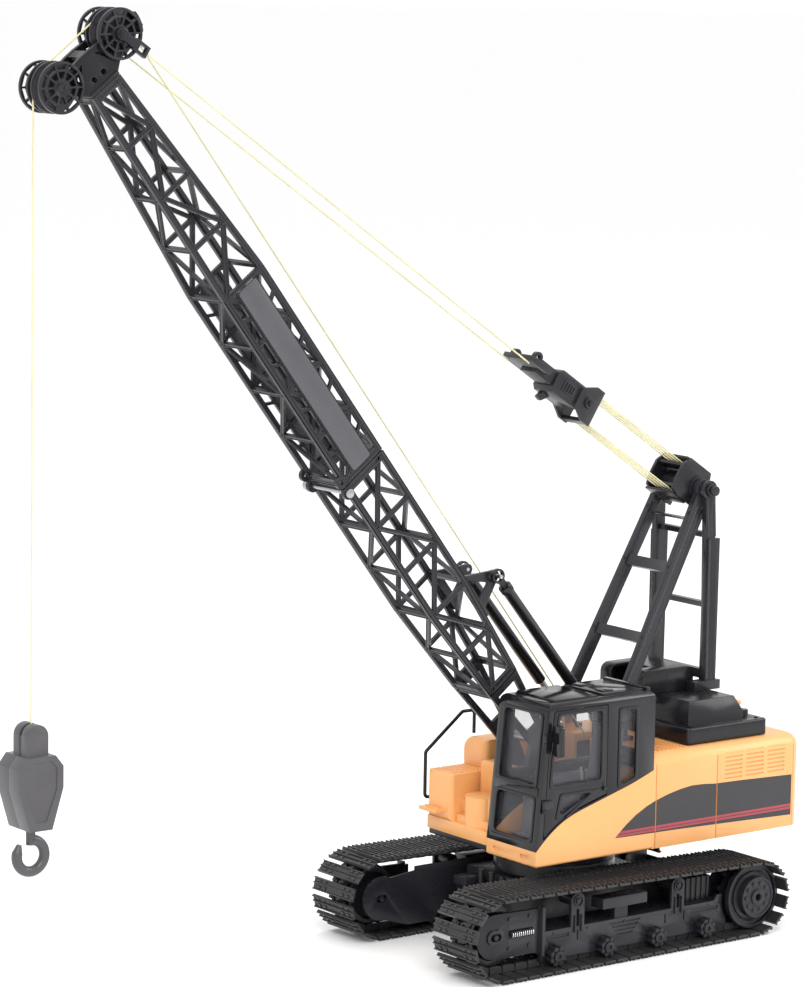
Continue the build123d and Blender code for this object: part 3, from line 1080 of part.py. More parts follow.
def hook_block():
    """Coffin-shaped block in two halves with a grooved lug on top."""
    x, y, top = FALL_X, BOOM_Y, HOOK_BLOCK_TOP
    w = 17.0
    outline = [(x - 8.6, top - 70), (x + 8.6, top - 70), (x + w, top - 42.5), (x + w, top - 28), (x + 11, top - 20.5),
               (x - 11, top - 20.5), (x - w, top - 28), (x - w, top - 42.5)]
    halves = []
    for s in (-1, 1):
        y0, y1 = y + s * 0.1, y + s * 13.4
        half = side_plate(outline, y0, y1)
        recess = side_plate([(x - 4, top - 64), (x + 4, top - 64), (x + 12, top - 43), (x + 12, top - 29),
                             (x + 8, top - 24), (x - 8, top - 24), (x - 12, top - 29), (x - 12, top - 43)],
                            y + s * 12.6, y + s * 14)
        lug = box(x - 8.2, x + 8.2, y + s * 1.5, y + s * 8.6, top - 22, top - 8.2) + disc(x, top - 8.2, 8.2,
                                                                                  y + s * 1.5, y + s * 8.6)
        lug += box(x - 7.4, x + 7.4, y + s * 0.1, y + s * 2, top - 22, top - 8)
        half = half - recess + lug - rod((x, y, top - 100), (x, y, top - 56), 3.3 + SHAFT_PLAY)
        half -= rod((x, y, top - 64), (x, y, top - 57), 5.4)
        halves.append(half - rod((x, y, top - 20), (x, y, top + 5), ROPE_R + 0.5))
    return halves


def hook():
    x, y, top = FALL_X, BOOM_Y, HOOK_BLOCK_TOP
    centre_z = top - 89.0
    shank = rod((x, y, top - 80), (x, y, top - 60), 3.2) + rod((x, y, top - 63.5), (x, y, top - 57.5), 5.2)
    arc = CenterArc((0, 0, 0), 10.6, 90, 285)
    frame = Plane(origin=(x, y, centre_z), x_dir=(1, 0, 0), z_dir=(0, -1, 0))
    path = frame * arc
    start = path @ 0
    hook_bend = sweep(Plane(origin=start, z_dir=path % 0) * Circle(3.6), path=path)
    end, along = path @ 1, path % 1
    tip = Plane(origin=end, z_dir=along) * Cone(3.6, 1.6, 6, align=(Align.CENTER, Align.CENTER, Align.MIN))
    neck = rod((x, y, centre_z + 7.5), (x, y, top - 79), 3.2)
    return hook_bend + [tip, shank, neck]


# ---- assembly -----------------------------------------------------------

def place(shape, location):
    return shape.moved(location)


def build():
    keep("car_body", car_body())
    frame = track_frame()
    parts = {"track_frame": frame, "idler": idler(), "sprocket": sprocket()}
    for k, x in enumerate(ROLLER_X, 1):
        parts["road_wheel_%d" % k] = road_wheel(x)
    for k, x in enumerate(CARRIER_X, 1):
        parts["carrier_%d" % k] = carrier(x)
    for name, shape in parts.items():
        stem, _, number = name.rpartition("_") if name[-1].isdigit() else (name, "", "")
        tail = "_" + number if number else ""
        keep(stem + "_left" + tail, shape)
        keep(stem + "_right" + tail, mirror_y(shape))
    keep("track_left", *track(1))
    keep("track_right", *track(-1))
    keep("tension_springs", spring(), mirror_y(spring()))
    keep("track_motors", track_motor(), mirror_y(track_motor()))
    keep("slew_ring", slew_ring())
    keep("deck", deck() + winch_frame())
    keep("body_shell", body_shell())
    keep("engine_hood", engine_hood())
    keep("front_platform", front_platform())
    keep("handrail", handrail())
    keep("cab_shell", cab_shell())
    keep("cab_windows", *cab_windows())
    keep("cab_door", cab_door())
    keep("door_glass", *door_glass())
    keep("cab_fittings", *cab_fittings())
    keep("seat", seat())
    keep("winch_cover", winch_cover())
    keep("hoist_drum", drum(*HOIST_DRUM, BOOM_Y - 14, BOOM_Y + 14, 8, 12))
    keep("luffing_drum", drum(*LUFF_DRUM, BOOM_Y - 14, BOOM_Y + 14, 8, 12))
    keep("battery_pack", battery_pack())
    keep("circuit_board", circuit_board(), charge_socket())
    keep("slew_motor", slew_motor())
    keep("gantry_front_legs", gantry_front_legs())
    keep("gantry_rear_posts", gantry_rear_posts())
    keep("gantry_head", place(gantry_head(), LINE_PLACE))
    keep("boom_lower", *[place(p, BOOM_PLACE) for p in boom_lower()])
    keep("boom_upper", *[place(p, BOOM_PLACE) for p in boom_upper()])
    keep("boom_panels", *[place(p, BOOM_PLACE) for p in boom_panels()])
    keep("boom_head", place(boom_head(), BOOM_PLACE))
    keep("boom_pins", *[place(p, BOOM_PLACE) for p in boom_pins()])
    keep("upper_sheaves", *[place(p, BOOM_PLACE) for p in sheave_set(SHEAVE_V)])
    keep("front_sheaves", *[place(p, BOOM_PLACE) for p in sheave_set(-SHEAVE_V)])
    keep("backstop_barrels", *[place(p, STRUT_PLACE) for p in strut_barrels()])
    keep("backstop_rods", *[place(p, STRUT_PLACE) for p in strut_rods()])
    keep("bridle", *[place(p, LINE_PLACE) for p in bridle()])
    keep("pendants", *[place(p, LINE_PLACE) for p in pendants()])
    keep("luffing_rope", *[place(p, LINE_PLACE) for p in luffing_rope()])
    keep("hoist_rope_back", place(rope_back(), BOOM_PLACE))
    keep("hoist_rope_fall", rope_fall())
    keep("hook_block", *hook_block())
    keep("hook", hook())


build()
os.makedirs("parts", exist_ok=True)
for name, solids in PARTS.items():
    pieces = [piece for shape in solids for piece in shape.solids()]
    export_step(pieces[0] if len(pieces) == 1 else Compound(children=pieces), "parts/%s.step" % name)
print(len(PARTS), "nodes")
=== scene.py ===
import json
import math

import bmesh
import bpy
from bpy.props import FloatProperty, FloatVectorProperty, IntProperty, PointerProperty
from bpy.types import Operator, Panel, PropertyGroup
from mathutils import Matrix, Vector


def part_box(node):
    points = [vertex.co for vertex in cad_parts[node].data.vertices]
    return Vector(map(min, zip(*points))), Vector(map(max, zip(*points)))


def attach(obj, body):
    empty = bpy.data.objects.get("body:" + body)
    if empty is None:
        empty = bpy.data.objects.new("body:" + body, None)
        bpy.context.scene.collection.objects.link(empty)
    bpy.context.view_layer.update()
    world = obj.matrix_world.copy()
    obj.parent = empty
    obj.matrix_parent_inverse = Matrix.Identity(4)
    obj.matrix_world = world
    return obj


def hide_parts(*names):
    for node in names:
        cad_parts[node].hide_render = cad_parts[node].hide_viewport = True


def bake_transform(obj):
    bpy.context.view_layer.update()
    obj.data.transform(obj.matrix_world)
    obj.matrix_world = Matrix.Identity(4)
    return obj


bl_info = {
    "name": "Toy crawler crane",
    "version": (1, 0, 0),
    "blender": (4, 5, 0),
    "location": "3D View > Sidebar > Crane",
    "description": "Lattice-boom toy crane on tracks, dressed around its fixed working parts",
    "category": "Object",
}

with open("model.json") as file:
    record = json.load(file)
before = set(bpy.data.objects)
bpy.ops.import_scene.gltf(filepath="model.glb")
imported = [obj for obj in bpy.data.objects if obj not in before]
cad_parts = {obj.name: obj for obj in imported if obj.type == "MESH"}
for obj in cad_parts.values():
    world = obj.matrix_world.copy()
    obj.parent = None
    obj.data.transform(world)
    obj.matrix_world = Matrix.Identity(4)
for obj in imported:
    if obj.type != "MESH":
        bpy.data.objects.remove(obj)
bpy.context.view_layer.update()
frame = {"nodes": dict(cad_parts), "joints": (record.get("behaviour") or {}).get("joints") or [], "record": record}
MM = 0.001
JOINTS = {j["name"]: j for j in frame["joints"]}


def pivot(joint):
    """Where a joint turns, in metres."""
    return Vector(JOINTS[joint]["pos_m"])


BOOM_FOOT = pivot("luff")
BOOM_HEAD_AXLE = pivot("upper_sheave_spin")
FRONT_AXLE = pivot("front_sheave_spin")
HEAD_ACROSS = (BOOM_HEAD_AXLE - FRONT_AXLE).normalized()
BOOM_ALONG = HEAD_ACROSS.cross(Vector((0, 1, 0))) * -1
GANTRY_AXLE = pivot("gantry_head_swivel")
BOOM_Y = BOOM_FOOT.y
ROPE_LINE = (BOOM_HEAD_AXLE - GANTRY_AXLE).normalized()
BODY_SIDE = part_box("body_shell")[1].y


def metres(name, default, description):
    return FloatProperty(name=name, default=default, min=0.0, max=1.0, unit="LENGTH", precision=5,
                         description=description)


def amount(name, default, description, **limits):
    return FloatProperty(name=name, default=default, description=description, **limits)


def whole_number(name, default, low, high, description):
    return IntProperty(name=name, default=default, min=low, max=high, description=description)


def colour(name, default, description):
    return FloatVectorProperty(name=name, default=default, size=3, min=0.0, max=1.0, subtype="COLOR",
                               description=description)


class CraneFinishes(PropertyGroup):
    """Colours of the mouldings."""

    body_orange: colour("Body orange", (0.800, 0.385, 0.135), "Casing, sill and front platform")
    cab_black: colour("Cab black", (0.007, 0.007, 0.009), "Glossy cab, struts and hood")
    boom_slate: colour("Boom slate", (0.013, 0.012, 0.016), "Lattice boom and gantry bars")
    panel_grey: colour("Panel grey", (0.062, 0.060, 0.068), "Plain cover panels on the boom")
    frame_black: colour("Frame black", (0.013, 0.012, 0.016), "Track frames, rollers and sprockets")
    track_black: colour("Track black", (0.010, 0.009, 0.010), "Track shoes")
    decal_black: colour("Side panel black", (0.028, 0.026, 0.029), "Printed panel on the casing's sides")
    decal_red: colour("Stripe red", (0.36, 0.045, 0.062), "Stripe along the printed panel")
    hook_grey: colour("Hook grey", (0.060, 0.057, 0.063), "Hook block and hook")
    rope_cream: colour("Rope cream", (0.80, 0.74, 0.42), "Braided ropes")
    seat_grey: colour("Seat grey", (0.13, 0.13, 0.15), "Seat and consoles")
    window_tint: colour("Window tint", (0.12, 0.12, 0.14), "Clear cab windows")
    floor_white: colour("Floor white", (0.93, 0.93, 0.93), "Studio floor")


class CraneSizes(PropertyGroup):
    """Sizes of the visible mouldings."""

    chord: metres("Boom chord", 4.4 * MM, "Width of the boom's corner bars")
    brace: metres("Boom brace", 3.2 * MM, "Width of the boom's diagonals and posts")
    bar_thickness: metres("Bar thickness", 3.0 * MM, "Thickness of the lattice bars")
    groove: metres("Bar groove", 0.55 * MM, "Depth of the groove moulded along each bar")
    first_node: metres("First boom node", 58.5 * MM, "From the boom's foot pivot to its first post")
    bay: metres("Boom bay", 41.5 * MM, "Distance between posts along the boom")
    lower_bays: whole_number("Lower bays", 5, 2, 12, "Bays in the boom's lower section")
    straight_bays: whole_number("Straight bays", 4, 1, 12, "Bays before the taper")
    taper_bays: whole_number("Taper bays", 4, 1, 12, "Bays in the tapering tip")
    half_width: metres("Boom half width", 22.0 * MM, "Half width of the boom")
    tip_half_width: metres("Tip half width", 11.0 * MM, "Half width of the boom at its tip")
    half_depth: metres("Boom half depth", 20.0 * MM, "Half depth of the boom")
    base_half_depth: metres("Base half depth", 14.8 * MM, "Half depth of the boom at its first post")
    tip_half_depth: metres("Tip half depth", 13.0 * MM, "Half depth of the boom at its tip")
    shoe_width: metres("Shoe width", 48.0 * MM, "Width of one track shoe")
    shoe_reach: metres("Shoe reach", 6.0 * MM, "From the chain's pitch line to the tips of the ridges")
    sprocket_pitch: metres("Sprocket pitch radius", 22.0 * MM, "Chain's pitch line on the sprocket")
    idler_pitch: metres("Idler pitch radius", 24.5 * MM, "Chain's pitch line on the idler")
    sprocket_teeth: whole_number("Sprocket teeth", 12, 6, 30, "Teeth on a sprocket")
    strand: metres("Rope strand", 0.34 * MM, "Radius of one strand of the rope")
    rope_lay: metres("Rope lay", 5.0 * MM, "Length of one full turn of the rope's strands")


class CraneStage(PropertyGroup):
    """Camera and studio."""

    eye: FloatVectorProperty(name="Camera position", default=(1.70810, 2.03719, 0.69788), size=3,
                             unit="LENGTH", description="Where the camera stands")
    heading: amount("Heading", math.radians(-127.5), "Direction the camera looks in, seen from above",
                    unit="ROTATION")
    tilt: amount("Tilt", math.radians(8.08), "Downward tilt", unit="ROTATION")
    roll: amount("Roll", math.radians(1.0), "Turn about the view", unit="ROTATION")
    lens: amount("Lens", 167.12, "Focal length in millimetres", min=10.0, max=400.0)
    key_strength: amount("Key light", 42.0, "Power of the main softbox, W", min=0.0)
    rear_strength: amount("Rear light", 22.0, "Power of the softbox behind, W", min=0.0)
    top_strength: amount("Top light", 12.0, "Power of the softbox overhead, W", min=0.0)
    sky_strength: amount("Sky", 1.06, "Brightness of the white surroundings", min=0.0)


# ---- finishes -----------------------------------------------------------

def node_helpers(tree):
    """Two short functions that add a node with its settings, and link two nodes by socket name."""
    def add(kind, inputs=(), **settings):
        node = tree.nodes.new(kind)
        for key, value in settings.items():
            setattr(node, key, value)
        for label, value in dict(inputs).items():
            node.inputs[label].default_value = value
        return node

    def link(start, outlet, end, inlet):
        tree.links.new(start.outputs[outlet], end.inputs[inlet])

    return add, link


def fresh_material(name):
    """A new material: itself, its shader and the node helpers."""
    material = bpy.data.materials.new(name)
    material.use_nodes = True
    return (material, material.node_tree.nodes["Principled BSDF"], *node_helpers(material.node_tree))


def plastic(name, tone, roughness, grain=900.0, grain_depth=0.10, mottle=0.10, coat=0.0, edge=0.0,
            specular=0.5, dust=0.0, streak=(1.0, 1.0, 1.0)):
    """Moulded plastic: faint mottling, uneven gloss, fine grain, and lighter edges that are partly handling wear
    and partly a painted highlight.
    """
    material, shader, add, link = fresh_material(name)
    place = add("ShaderNodeTexCoord")
    mapping = add("ShaderNodeMapping", {"Scale": streak})
    link(place, "Object", mapping, "Vector")
    broad = add("ShaderNodeTexNoise", {"Scale": 38.0, "Detail": 5.0})
    link(mapping, "Vector", broad, "Vector")
    tones = add("ShaderNodeValToRGB")
    for stop, position, share in zip(tones.color_ramp.elements, (0.30, 0.72), (1 - mottle, 1 + mottle)):
        stop.position = position
        stop.color = [min(1, c * share) for c in tone] + [1]
    link(broad, "Fac", tones, "Fac")
    last = tones, "Color"
    if edge:
        # Sharp edges are lightened in the base colour: partly handling wear, partly a painted highlight where
        # edges catch the light.
        form = add("ShaderNodeNewGeometry")
        edge_wear_and_highlight = add("ShaderNodeMapRange", {"From Min": 0.52, "From Max": 0.62, "To Max": edge})
        link(form, "Pointiness", edge_wear_and_highlight, "Value")
        worn_and_highlit_edge = add("ShaderNodeMix", {"B": [min(1, c * 2.2 + 0.05) for c in tone] + [1]}, data_type="RGBA")
        link(edge_wear_and_highlight, "Result", worn_and_highlit_edge, "Factor")
        link(*last, worn_and_highlit_edge, "A")
        last = worn_and_highlit_edge, "Result"
    if dust:
        form = add("ShaderNodeNewGeometry")
        apart = add("ShaderNodeSeparateXYZ")
        link(form, "Normal", apart, "Vector")
        lying = add("ShaderNodeMapRange", {"From Min": 0.3, "To Max": dust})
        link(apart, "Z", lying, "Value")
        dusty = add("ShaderNodeMix", {"B": (0.30, 0.28, 0.26, 1)}, data_type="RGBA")
        link(lying, "Result", dusty, "Factor")
        link(*last, dusty, "A")
        last = dusty, "Result"
    link(*last, shader, "Base Color")
    smears = add("ShaderNodeTexNoise", {"Scale": 120.0, "Detail": 6.0, "Roughness": 0.62})
    link(mapping, "Vector", smears, "Vector")
    gloss = add("ShaderNodeMapRange", {"From Min": 0.25, "From Max": 0.75,
                                       "To Min": max(0.03, roughness - 0.07), "To Max": roughness + 0.08})
    link(smears, "Fac", gloss, "Value")
    link(gloss, "Result", shader, "Roughness")
    fine = add("ShaderNodeTexNoise", {"Scale": grain, "Detail": 3.0})
    link(mapping, "Vector", fine, "Vector")
    bump = add("ShaderNodeBump", {"Strength": grain_depth, "Distance": 0.0004})
    link(fine, "Fac", bump, "Height")
    link(bump, "Normal", shader, "Normal")
    shader.inputs["Coat Weight"].default_value = coat
    shader.inputs["Coat Roughness"].default_value = 0.08
    shader.inputs["Specular IOR Level"].default_value = specular
    return material


def window_plastic(name, tone):
    """Thin clear moulding: mostly see-through, with a glossy skin and faint haze."""
    material, shader, add, link = fresh_material(name)
    place = add("ShaderNodeTexCoord")
    haze = add("ShaderNodeTexNoise", {"Scale": 55.0, "Detail": 4.0})
    link(place, "Object", haze, "Vector")
    clear = add("ShaderNodeMapRange", {"To Min": 0.14, "To Max": 0.20})
    link(haze, "Fac", clear, "Value")
    link(clear, "Result", shader, "Alpha")
    ripple = add("ShaderNodeBump", {"Strength": 0.12, "Distance": 0.0006})
    link(haze, "Fac", ripple, "Height")
    link(ripple, "Normal", shader, "Normal")
    shader.inputs["Base Color"].default_value = (*tone, 1)
    shader.inputs["Roughness"].default_value = 0.04
    shader.inputs["Coat Weight"].default_value = 1.0
    shader.inputs["Coat Roughness"].default_value = 0.02
    return material


def turned_steel(name, tone=(0.42, 0.42, 0.43), roughness=0.30):
    """Bare steel with fine turning lines and a little staining."""
    material = plastic(name, tone, roughness, grain=2600, grain_depth=0.16, mottle=0.22,
                       streak=(1.0, 0.15, 1.0))
    material.node_tree.nodes["Principled BSDF"].inputs["Metallic"].default_value = 1.0
    return material


def braided_cord(name, tone):
    """Waxed cord with fine fibres and a soft sheen."""
    material = plastic(name, tone, 0.62, grain=5200, grain_depth=0.45, mottle=0.16)
    shader = material.node_tree.nodes["Principled BSDF"]
    shader.inputs["Sheen Weight"].default_value = 0.35
    shader.inputs["Sheen Roughness"].default_value = 0.5
    return material


FINISH = {}


def mix_finishes(look):
    """One finish for each kind of moulding on the crane."""
    FINISH.update({
        "body_orange": plastic("body_orange", look.body_orange, 0.36, 1500, 0.035, 0.035, coat=0.12),
        "cab_black": plastic("cab_black", look.cab_black, 0.15, 700, 0.03, 0.20, edge=0.10, specular=0.40),
        "strut_black": plastic("strut_black", look.cab_black, 0.20, 700, 0.04, 0.20, edge=0.15, specular=0.40),
        "hood_black": plastic("hood_black", look.cab_black, 0.24, 900, 0.05, 0.20, edge=0.20, specular=0.32),
        "deck_black": plastic("deck_black", look.frame_black, 0.42, 900, 0.10, 0.15),
        "boom_grey": plastic("boom_slate", look.boom_slate, 0.26, 1100, 0.07, 0.18, edge=0.16, specular=0.34),
        "panel_grey": plastic("panel_grey", look.panel_grey, 0.26, 1300, 0.05, 0.10, coat=0.15, edge=0.15),
        "frame_black": plastic("frame_black", look.frame_black, 0.30, 1000, 0.08, 0.20, edge=0.22,
                               specular=0.36),
        "track_black": plastic("track_black", look.track_black, 0.36, 700, 0.30, 0.28, edge=0.35, dust=0.02,
                               specular=0.34),
        "sheave_black": plastic("sheave_black", look.frame_black, 0.30, 1000, 0.08, 0.15, edge=0.20,
                                specular=0.36),
        "decal_black": plastic("decal_black", look.decal_black, 0.42, 1600, 0.03, 0.06),
        "decal_red": plastic("decal_red", look.decal_red, 0.42, 1600, 0.03, 0.05),
        "hook_grey": plastic("hook_grey", look.hook_grey, 0.36, 1200, 0.07, 0.10, coat=0.10, edge=0.18),
        "seat_grey": plastic("seat_grey", look.seat_grey, 0.55, 1500, 0.20, 0.12),
        "window_clear": window_plastic("window_clear", look.window_tint),
        "rope_cream": braided_cord("rope_cream", look.rope_cream),
        "pin_steel": turned_steel("pin_steel"),
        "spring_steel": turned_steel("spring_steel", (0.52, 0.52, 0.53), 0.22),
        "drum_grey": plastic("drum_grey", (0.25, 0.25, 0.25), 0.5),
        "battery_wrap": plastic("battery_wrap", (0.04, 0.11, 0.30), 0.3, coat=0.4),
        "board_green": plastic("board_green", (0.02, 0.12, 0.05), 0.4, coat=0.3),
    })


# ---- mesh helpers -------------------------------------------------------

CORNER_ANGLE = 32.0
SOFTENED_ANGLE = 30.0


def finished(name, mesh, finish, body, stands_for=()):
    """Put a plain mesh in the scene as a piece of one body."""
    piece = bpy.data.objects.new(name, mesh)
    bpy.context.scene.collection.objects.link(piece)
    mesh.materials.clear()
    mesh.materials.append(FINISH[finish])
    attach(piece, body)
    if stands_for:
        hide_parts(*stands_for)


def bevelled(mesh, name, width, segments, angle, **settings):
    """The mesh with its sharp edges rounded, as a plain mesh of its own."""
    carrier = bpy.data.objects.new(name + "_carrier", mesh)
    bpy.context.scene.collection.objects.link(carrier)
    modifier = carrier.modifiers.new("Bevel", "BEVEL")
    settings.update(width=width, segments=segments, limit_method="ANGLE", angle_limit=math.radians(angle),
                    use_clamp_overlap=True)
    for key, value in settings.items():
        setattr(modifier, key, value)
    bpy.context.view_layer.update()
    graph = bpy.context.evaluated_depsgraph_get()
    result = bpy.data.meshes.new_from_object(carrier.evaluated_get(graph))
    result.name = name
    bpy.data.objects.remove(carrier)
    return result


def shade(mesh):
    """Smooth the rounded faces and keep real corners sharp."""
    bm = bmesh.new()
    bm.from_mesh(mesh)
    for face in bm.faces:
        face.smooth = True
    limit = math.radians(CORNER_ANGLE)
    for edge in bm.edges:
        edge.smooth = len(edge.link_faces) == 2 and edge.calc_face_angle(0) < limit
    bm.to_mesh(mesh)
    bm.free()
    return mesh


def rounded(bm, name, width, segments=2, angle=34.0):
    """Close a bmesh into a mesh whose sharp edges are rounded."""
    bmesh.ops.recalc_face_normals(bm, faces=bm.faces)
    mesh = bpy.data.meshes.new(name)
    bm.to_mesh(mesh)
    bm.free()
    if width:
        mesh = bevelled(mesh, name, width, segments, angle, miter_outer="MITER_ARC")
    return shade(mesh)


def softened(node, name, width, segments=2):
    """A copy of a working part with its coplanar faces joined and its sharp edges rounded."""
    mesh = frame["nodes"][node].data.copy()
    bm = bmesh.new()
    bm.from_mesh(mesh)
    bmesh.ops.remove_doubles(bm, verts=bm.verts, dist=4e-6)
    bmesh.ops.dissolve_degenerate(bm, dist=2e-6, edges=bm.edges)
    bmesh.ops.dissolve_limit(bm, angle_limit=math.radians(1.5), verts=bm.verts, edges=bm.edges)
    fresh = bpy.data.meshes.new(name)
    bm.to_mesh(fresh)
    bm.free()
    return shade(bevelled(fresh, name, width, segments, SOFTENED_ANGLE))


def moulded(node, width, finish, body, name=None, segments=2):
    """Show a working part with softened edges and its own finish."""
    name = name or node + "_moulding"
    finished(name, softened(node, name, width, segments), finish, body, [node])


def circle(x, z, radius, sides):
    """Points once round a centre."""
    turns = [2 * math.pi * i / sides for i in range(sides)]
    return [(x + radius * math.cos(a), z + radius * math.sin(a)) for a in turns]


def arc(x, z, radius, start, sweep, points):
    """Points along part of a circle, from a start angle in degrees."""
    turns = [math.radians(start + sweep * i / (points - 1)) for i in range(points)]
    return [(x + radius * math.cos(a), z + radius * math.sin(a)) for a in turns]


def block(bm, low, high):
    """Add a box between two corners, given in metres."""
    low, high = Vector(low), Vector(high)
    size = high - low
    spot = Matrix.Translation((low + high) / 2) @ Matrix.Diagonal((abs(size.x), abs(size.y), abs(size.z), 1))
    bmesh.ops.create_cube(bm, size=1.0, matrix=spot)


def prism(bm, outline, low_y, high_y):
    """Add an upright slab from an outline in x and z, between two depths in y."""
    near = [bm.verts.new((x, low_y, z)) for x, z in outline]
    far = [bm.verts.new((x, high_y, z)) for x, z in outline]
    bm.faces.new(near[::-1])
    bm.faces.new(far)
    count = len(outline)
    for i in range(count):
        bm.faces.new((near[i], near[(i + 1) % count], far[(i + 1) % count], far[i]))


def grooved_bar(bm, start, end, out, wide, thick, groove):
    """Add a moulded bar with raised rims and a shallow groove on its outer face."""
    start, end, out = Vector(start), Vector(end), Vector(out).normalized()
    along = (end - start).normalized()
    side = along.cross(out).normalized()
    half, rim = wide / 2, wide * 0.20
    profile = [(-half, 0), (-half, thick), (-half + rim, thick), (-half + rim * 1.35, thick - groove),
               (half - rim * 1.35, thick - groove), (half - rim, thick), (half, thick), (half, 0)]
    ends = []
    for point in (start, end):
        ends.append([bm.verts.new(point + side * a + out * (b - thick)) for a, b in profile])
    first, last = ends
    count = len(profile)
    for i in range(count):
        bm.faces.new((first[i], last[i], last[(i + 1) % count], first[(i + 1) % count]))
    bm.faces.new(first)
    bm.faces.new(last[::-1])


def round_rod(bm, start, end, radius, sides):
    """Add a round bar between two points."""
    start, end = Vector(start), Vector(end)
    spot = Matrix.Translation((start + end) / 2) @ (end - start).to_track_quat("Z", "Y").to_matrix().to_4x4()
    bmesh.ops.create_cone(bm, cap_ends=True, segments=sides, radius1=radius, radius2=radius,
                          depth=(end - start).length, matrix=spot)


# ---- node trees ---------------------------------------------------------

def tree_with_inputs(name, inputs):
    """An empty node tree with its sockets: itself, its two ends and the node helpers."""
    tree = bpy.data.node_groups.new(name, "GeometryNodeTree")
    tree.interface.new_socket("Geometry", in_out="INPUT", socket_type="NodeSocketGeometry")
    for label, kind in inputs.items():
        tree.interface.new_socket(label, in_out="INPUT", socket_type="NodeSocket" + kind)
    tree.interface.new_socket("Geometry", in_out="OUTPUT", socket_type="NodeSocketGeometry")
    return (tree, tree.nodes.new("NodeGroupInput"), tree.nodes.new("NodeGroupOutput"), *node_helpers(tree))


def laid_out_pieces():
    """Node tree: one moulding set at every point, turned and stretched by the points' own values."""
    if "laid_out_pieces" in bpy.data.node_groups:
        return bpy.data.node_groups["laid_out_pieces"]
    inputs = {"Moulding": "Object", "Finish": "Material"}
    tree, source, out, add, link = tree_with_inputs("laid_out_pieces", inputs)
    info = add("GeometryNodeObjectInfo")
    spread = add("GeometryNodeInstanceOnPoints")
    turn = add("GeometryNodeInputNamedAttribute", {"Name": "turn"}, data_type="FLOAT_VECTOR")
    stretch = add("GeometryNodeInputNamedAttribute", {"Name": "stretch"}, data_type="FLOAT_VECTOR")
    real = add("GeometryNodeRealizeInstances")
    finish = add("GeometryNodeSetMaterial")
    link(source, "Moulding", info, "Object")
    link(source, "Geometry", spread, "Points")
    link(info, "Geometry", spread, "Instance")
    link(turn, "Attribute", spread, "Rotation")
    link(stretch, "Attribute", spread, "Scale")
    link(spread, "Instances", real, "Geometry")
    link(real, "Geometry", finish, "Geometry")
    link(source, "Finish", finish, "Material")
    link(finish, "Geometry", out, "Geometry")
    return tree


def twisted_rope():
    """Node tree: three strands laid round each path of the input's edges."""
    if "twisted_rope" in bpy.data.node_groups:
        return bpy.data.node_groups["twisted_rope"]
    inputs = {"Strand": "Float", "Lay": "Float", "Step": "Float", "Finish": "Material"}
    tree, source, out, add, link = tree_with_inputs("twisted_rope", inputs)
    curve = add("GeometryNodeMeshToCurve")
    even = add("GeometryNodeResampleCurve", mode="LENGTH")
    tilt = add("GeometryNodeSetCurveTilt")
    along = add("GeometryNodeSplineParameter")
    turns = add("ShaderNodeMath", operation="DIVIDE")
    angle = add("ShaderNodeMath", operation="MULTIPLY")
    angle.inputs[1].default_value = 2 * math.pi
    ring = add("GeometryNodeCurvePrimitiveCircle", {"Resolution": 3}, mode="RADIUS")
    strand = add("GeometryNodeCurvePrimitiveCircle", {"Resolution": 7}, mode="RADIUS")
    apart = add("ShaderNodeMath", operation="MULTIPLY")
    apart.inputs[1].default_value = 1.06
    copies = add("GeometryNodeInstanceOnPoints")
    real = add("GeometryNodeRealizeInstances")
    body = add("GeometryNodeCurveToMesh", {"Fill Caps": True})
    smooth = add("GeometryNodeSetShadeSmooth")
    whole = add("GeometryNodeRealizeInstances")
    finish = add("GeometryNodeSetMaterial")
    link(source, "Geometry", curve, "Mesh")
    link(curve, "Curve", even, "Curve")
    link(source, "Step", even, "Length")
    link(even, "Curve", tilt, "Curve")
    link(along, "Length", turns, 0)
    link(source, "Lay", turns, 1)
    link(turns, 0, angle, 0)
    link(angle, 0, tilt, "Tilt")
    link(source, "Strand", apart, 0)
    link(apart, 0, ring, "Radius")
    link(source, "Strand", strand, "Radius")
    link(ring, "Curve", copies, "Points")
    link(strand, "Curve", copies, "Instance")
    link(copies, "Instances", real, "Geometry")
    link(tilt, "Curve", body, "Curve")
    link(real, "Geometry", body, "Profile Curve")
    link(body, "Mesh", smooth, "Geometry")
    link(smooth, "Geometry", whole, "Geometry")
    link(whole, "Geometry", finish, "Geometry")
    link(source, "Finish", finish, "Material")
    link(finish, "Geometry", out, "Geometry")
    return tree


def coiled_wire():
    """Node tree: a coil of round wire at every point of the input, lying along X."""
    if "coiled_wire" in bpy.data.node_groups:
        return bpy.data.node_groups["coiled_wire"]
    inputs = {"Length": "Float", "Radius": "Float", "Wire": "Float", "Turns": "Float", "Finish": "Material"}
    tree, source, out, add, link = tree_with_inputs("coiled_wire", inputs)
    spiral = add("GeometryNodeCurveSpiral", {"Resolution": 18})
    wire = add("GeometryNodeCurvePrimitiveCircle", {"Resolution": 8})
    body = add("GeometryNodeCurveToMesh", {"Fill Caps": True})
    lay = add("GeometryNodeTransform", {"Rotation": (0, math.pi / 2, 0)})
    spread = add("GeometryNodeInstanceOnPoints")
    smooth = add("GeometryNodeSetShadeSmooth")
    real = add("GeometryNodeRealizeInstances")
    finish = add("GeometryNodeSetMaterial")
    link(source, "Turns", spiral, "Rotations")
    link(source, "Radius", spiral, "Start Radius")
    link(source, "Radius", spiral, "End Radius")
    link(source, "Length", spiral, "Height")
    link(source, "Wire", wire, "Radius")
    link(spiral, "Curve", body, "Curve")
    link(wire, "Curve", body, "Profile Curve")
    link(body, "Mesh", lay, "Geometry")
    link(source, "Geometry", spread, "Points")
    link(lay, "Geometry", spread, "Instance")
    link(spread, "Instances", smooth, "Geometry")
    link(smooth, "Geometry", real, "Geometry")
    link(real, "Geometry", finish, "Geometry")
    link(source, "Finish", finish, "Material")
    link(finish, "Geometry", out, "Geometry")
    return tree


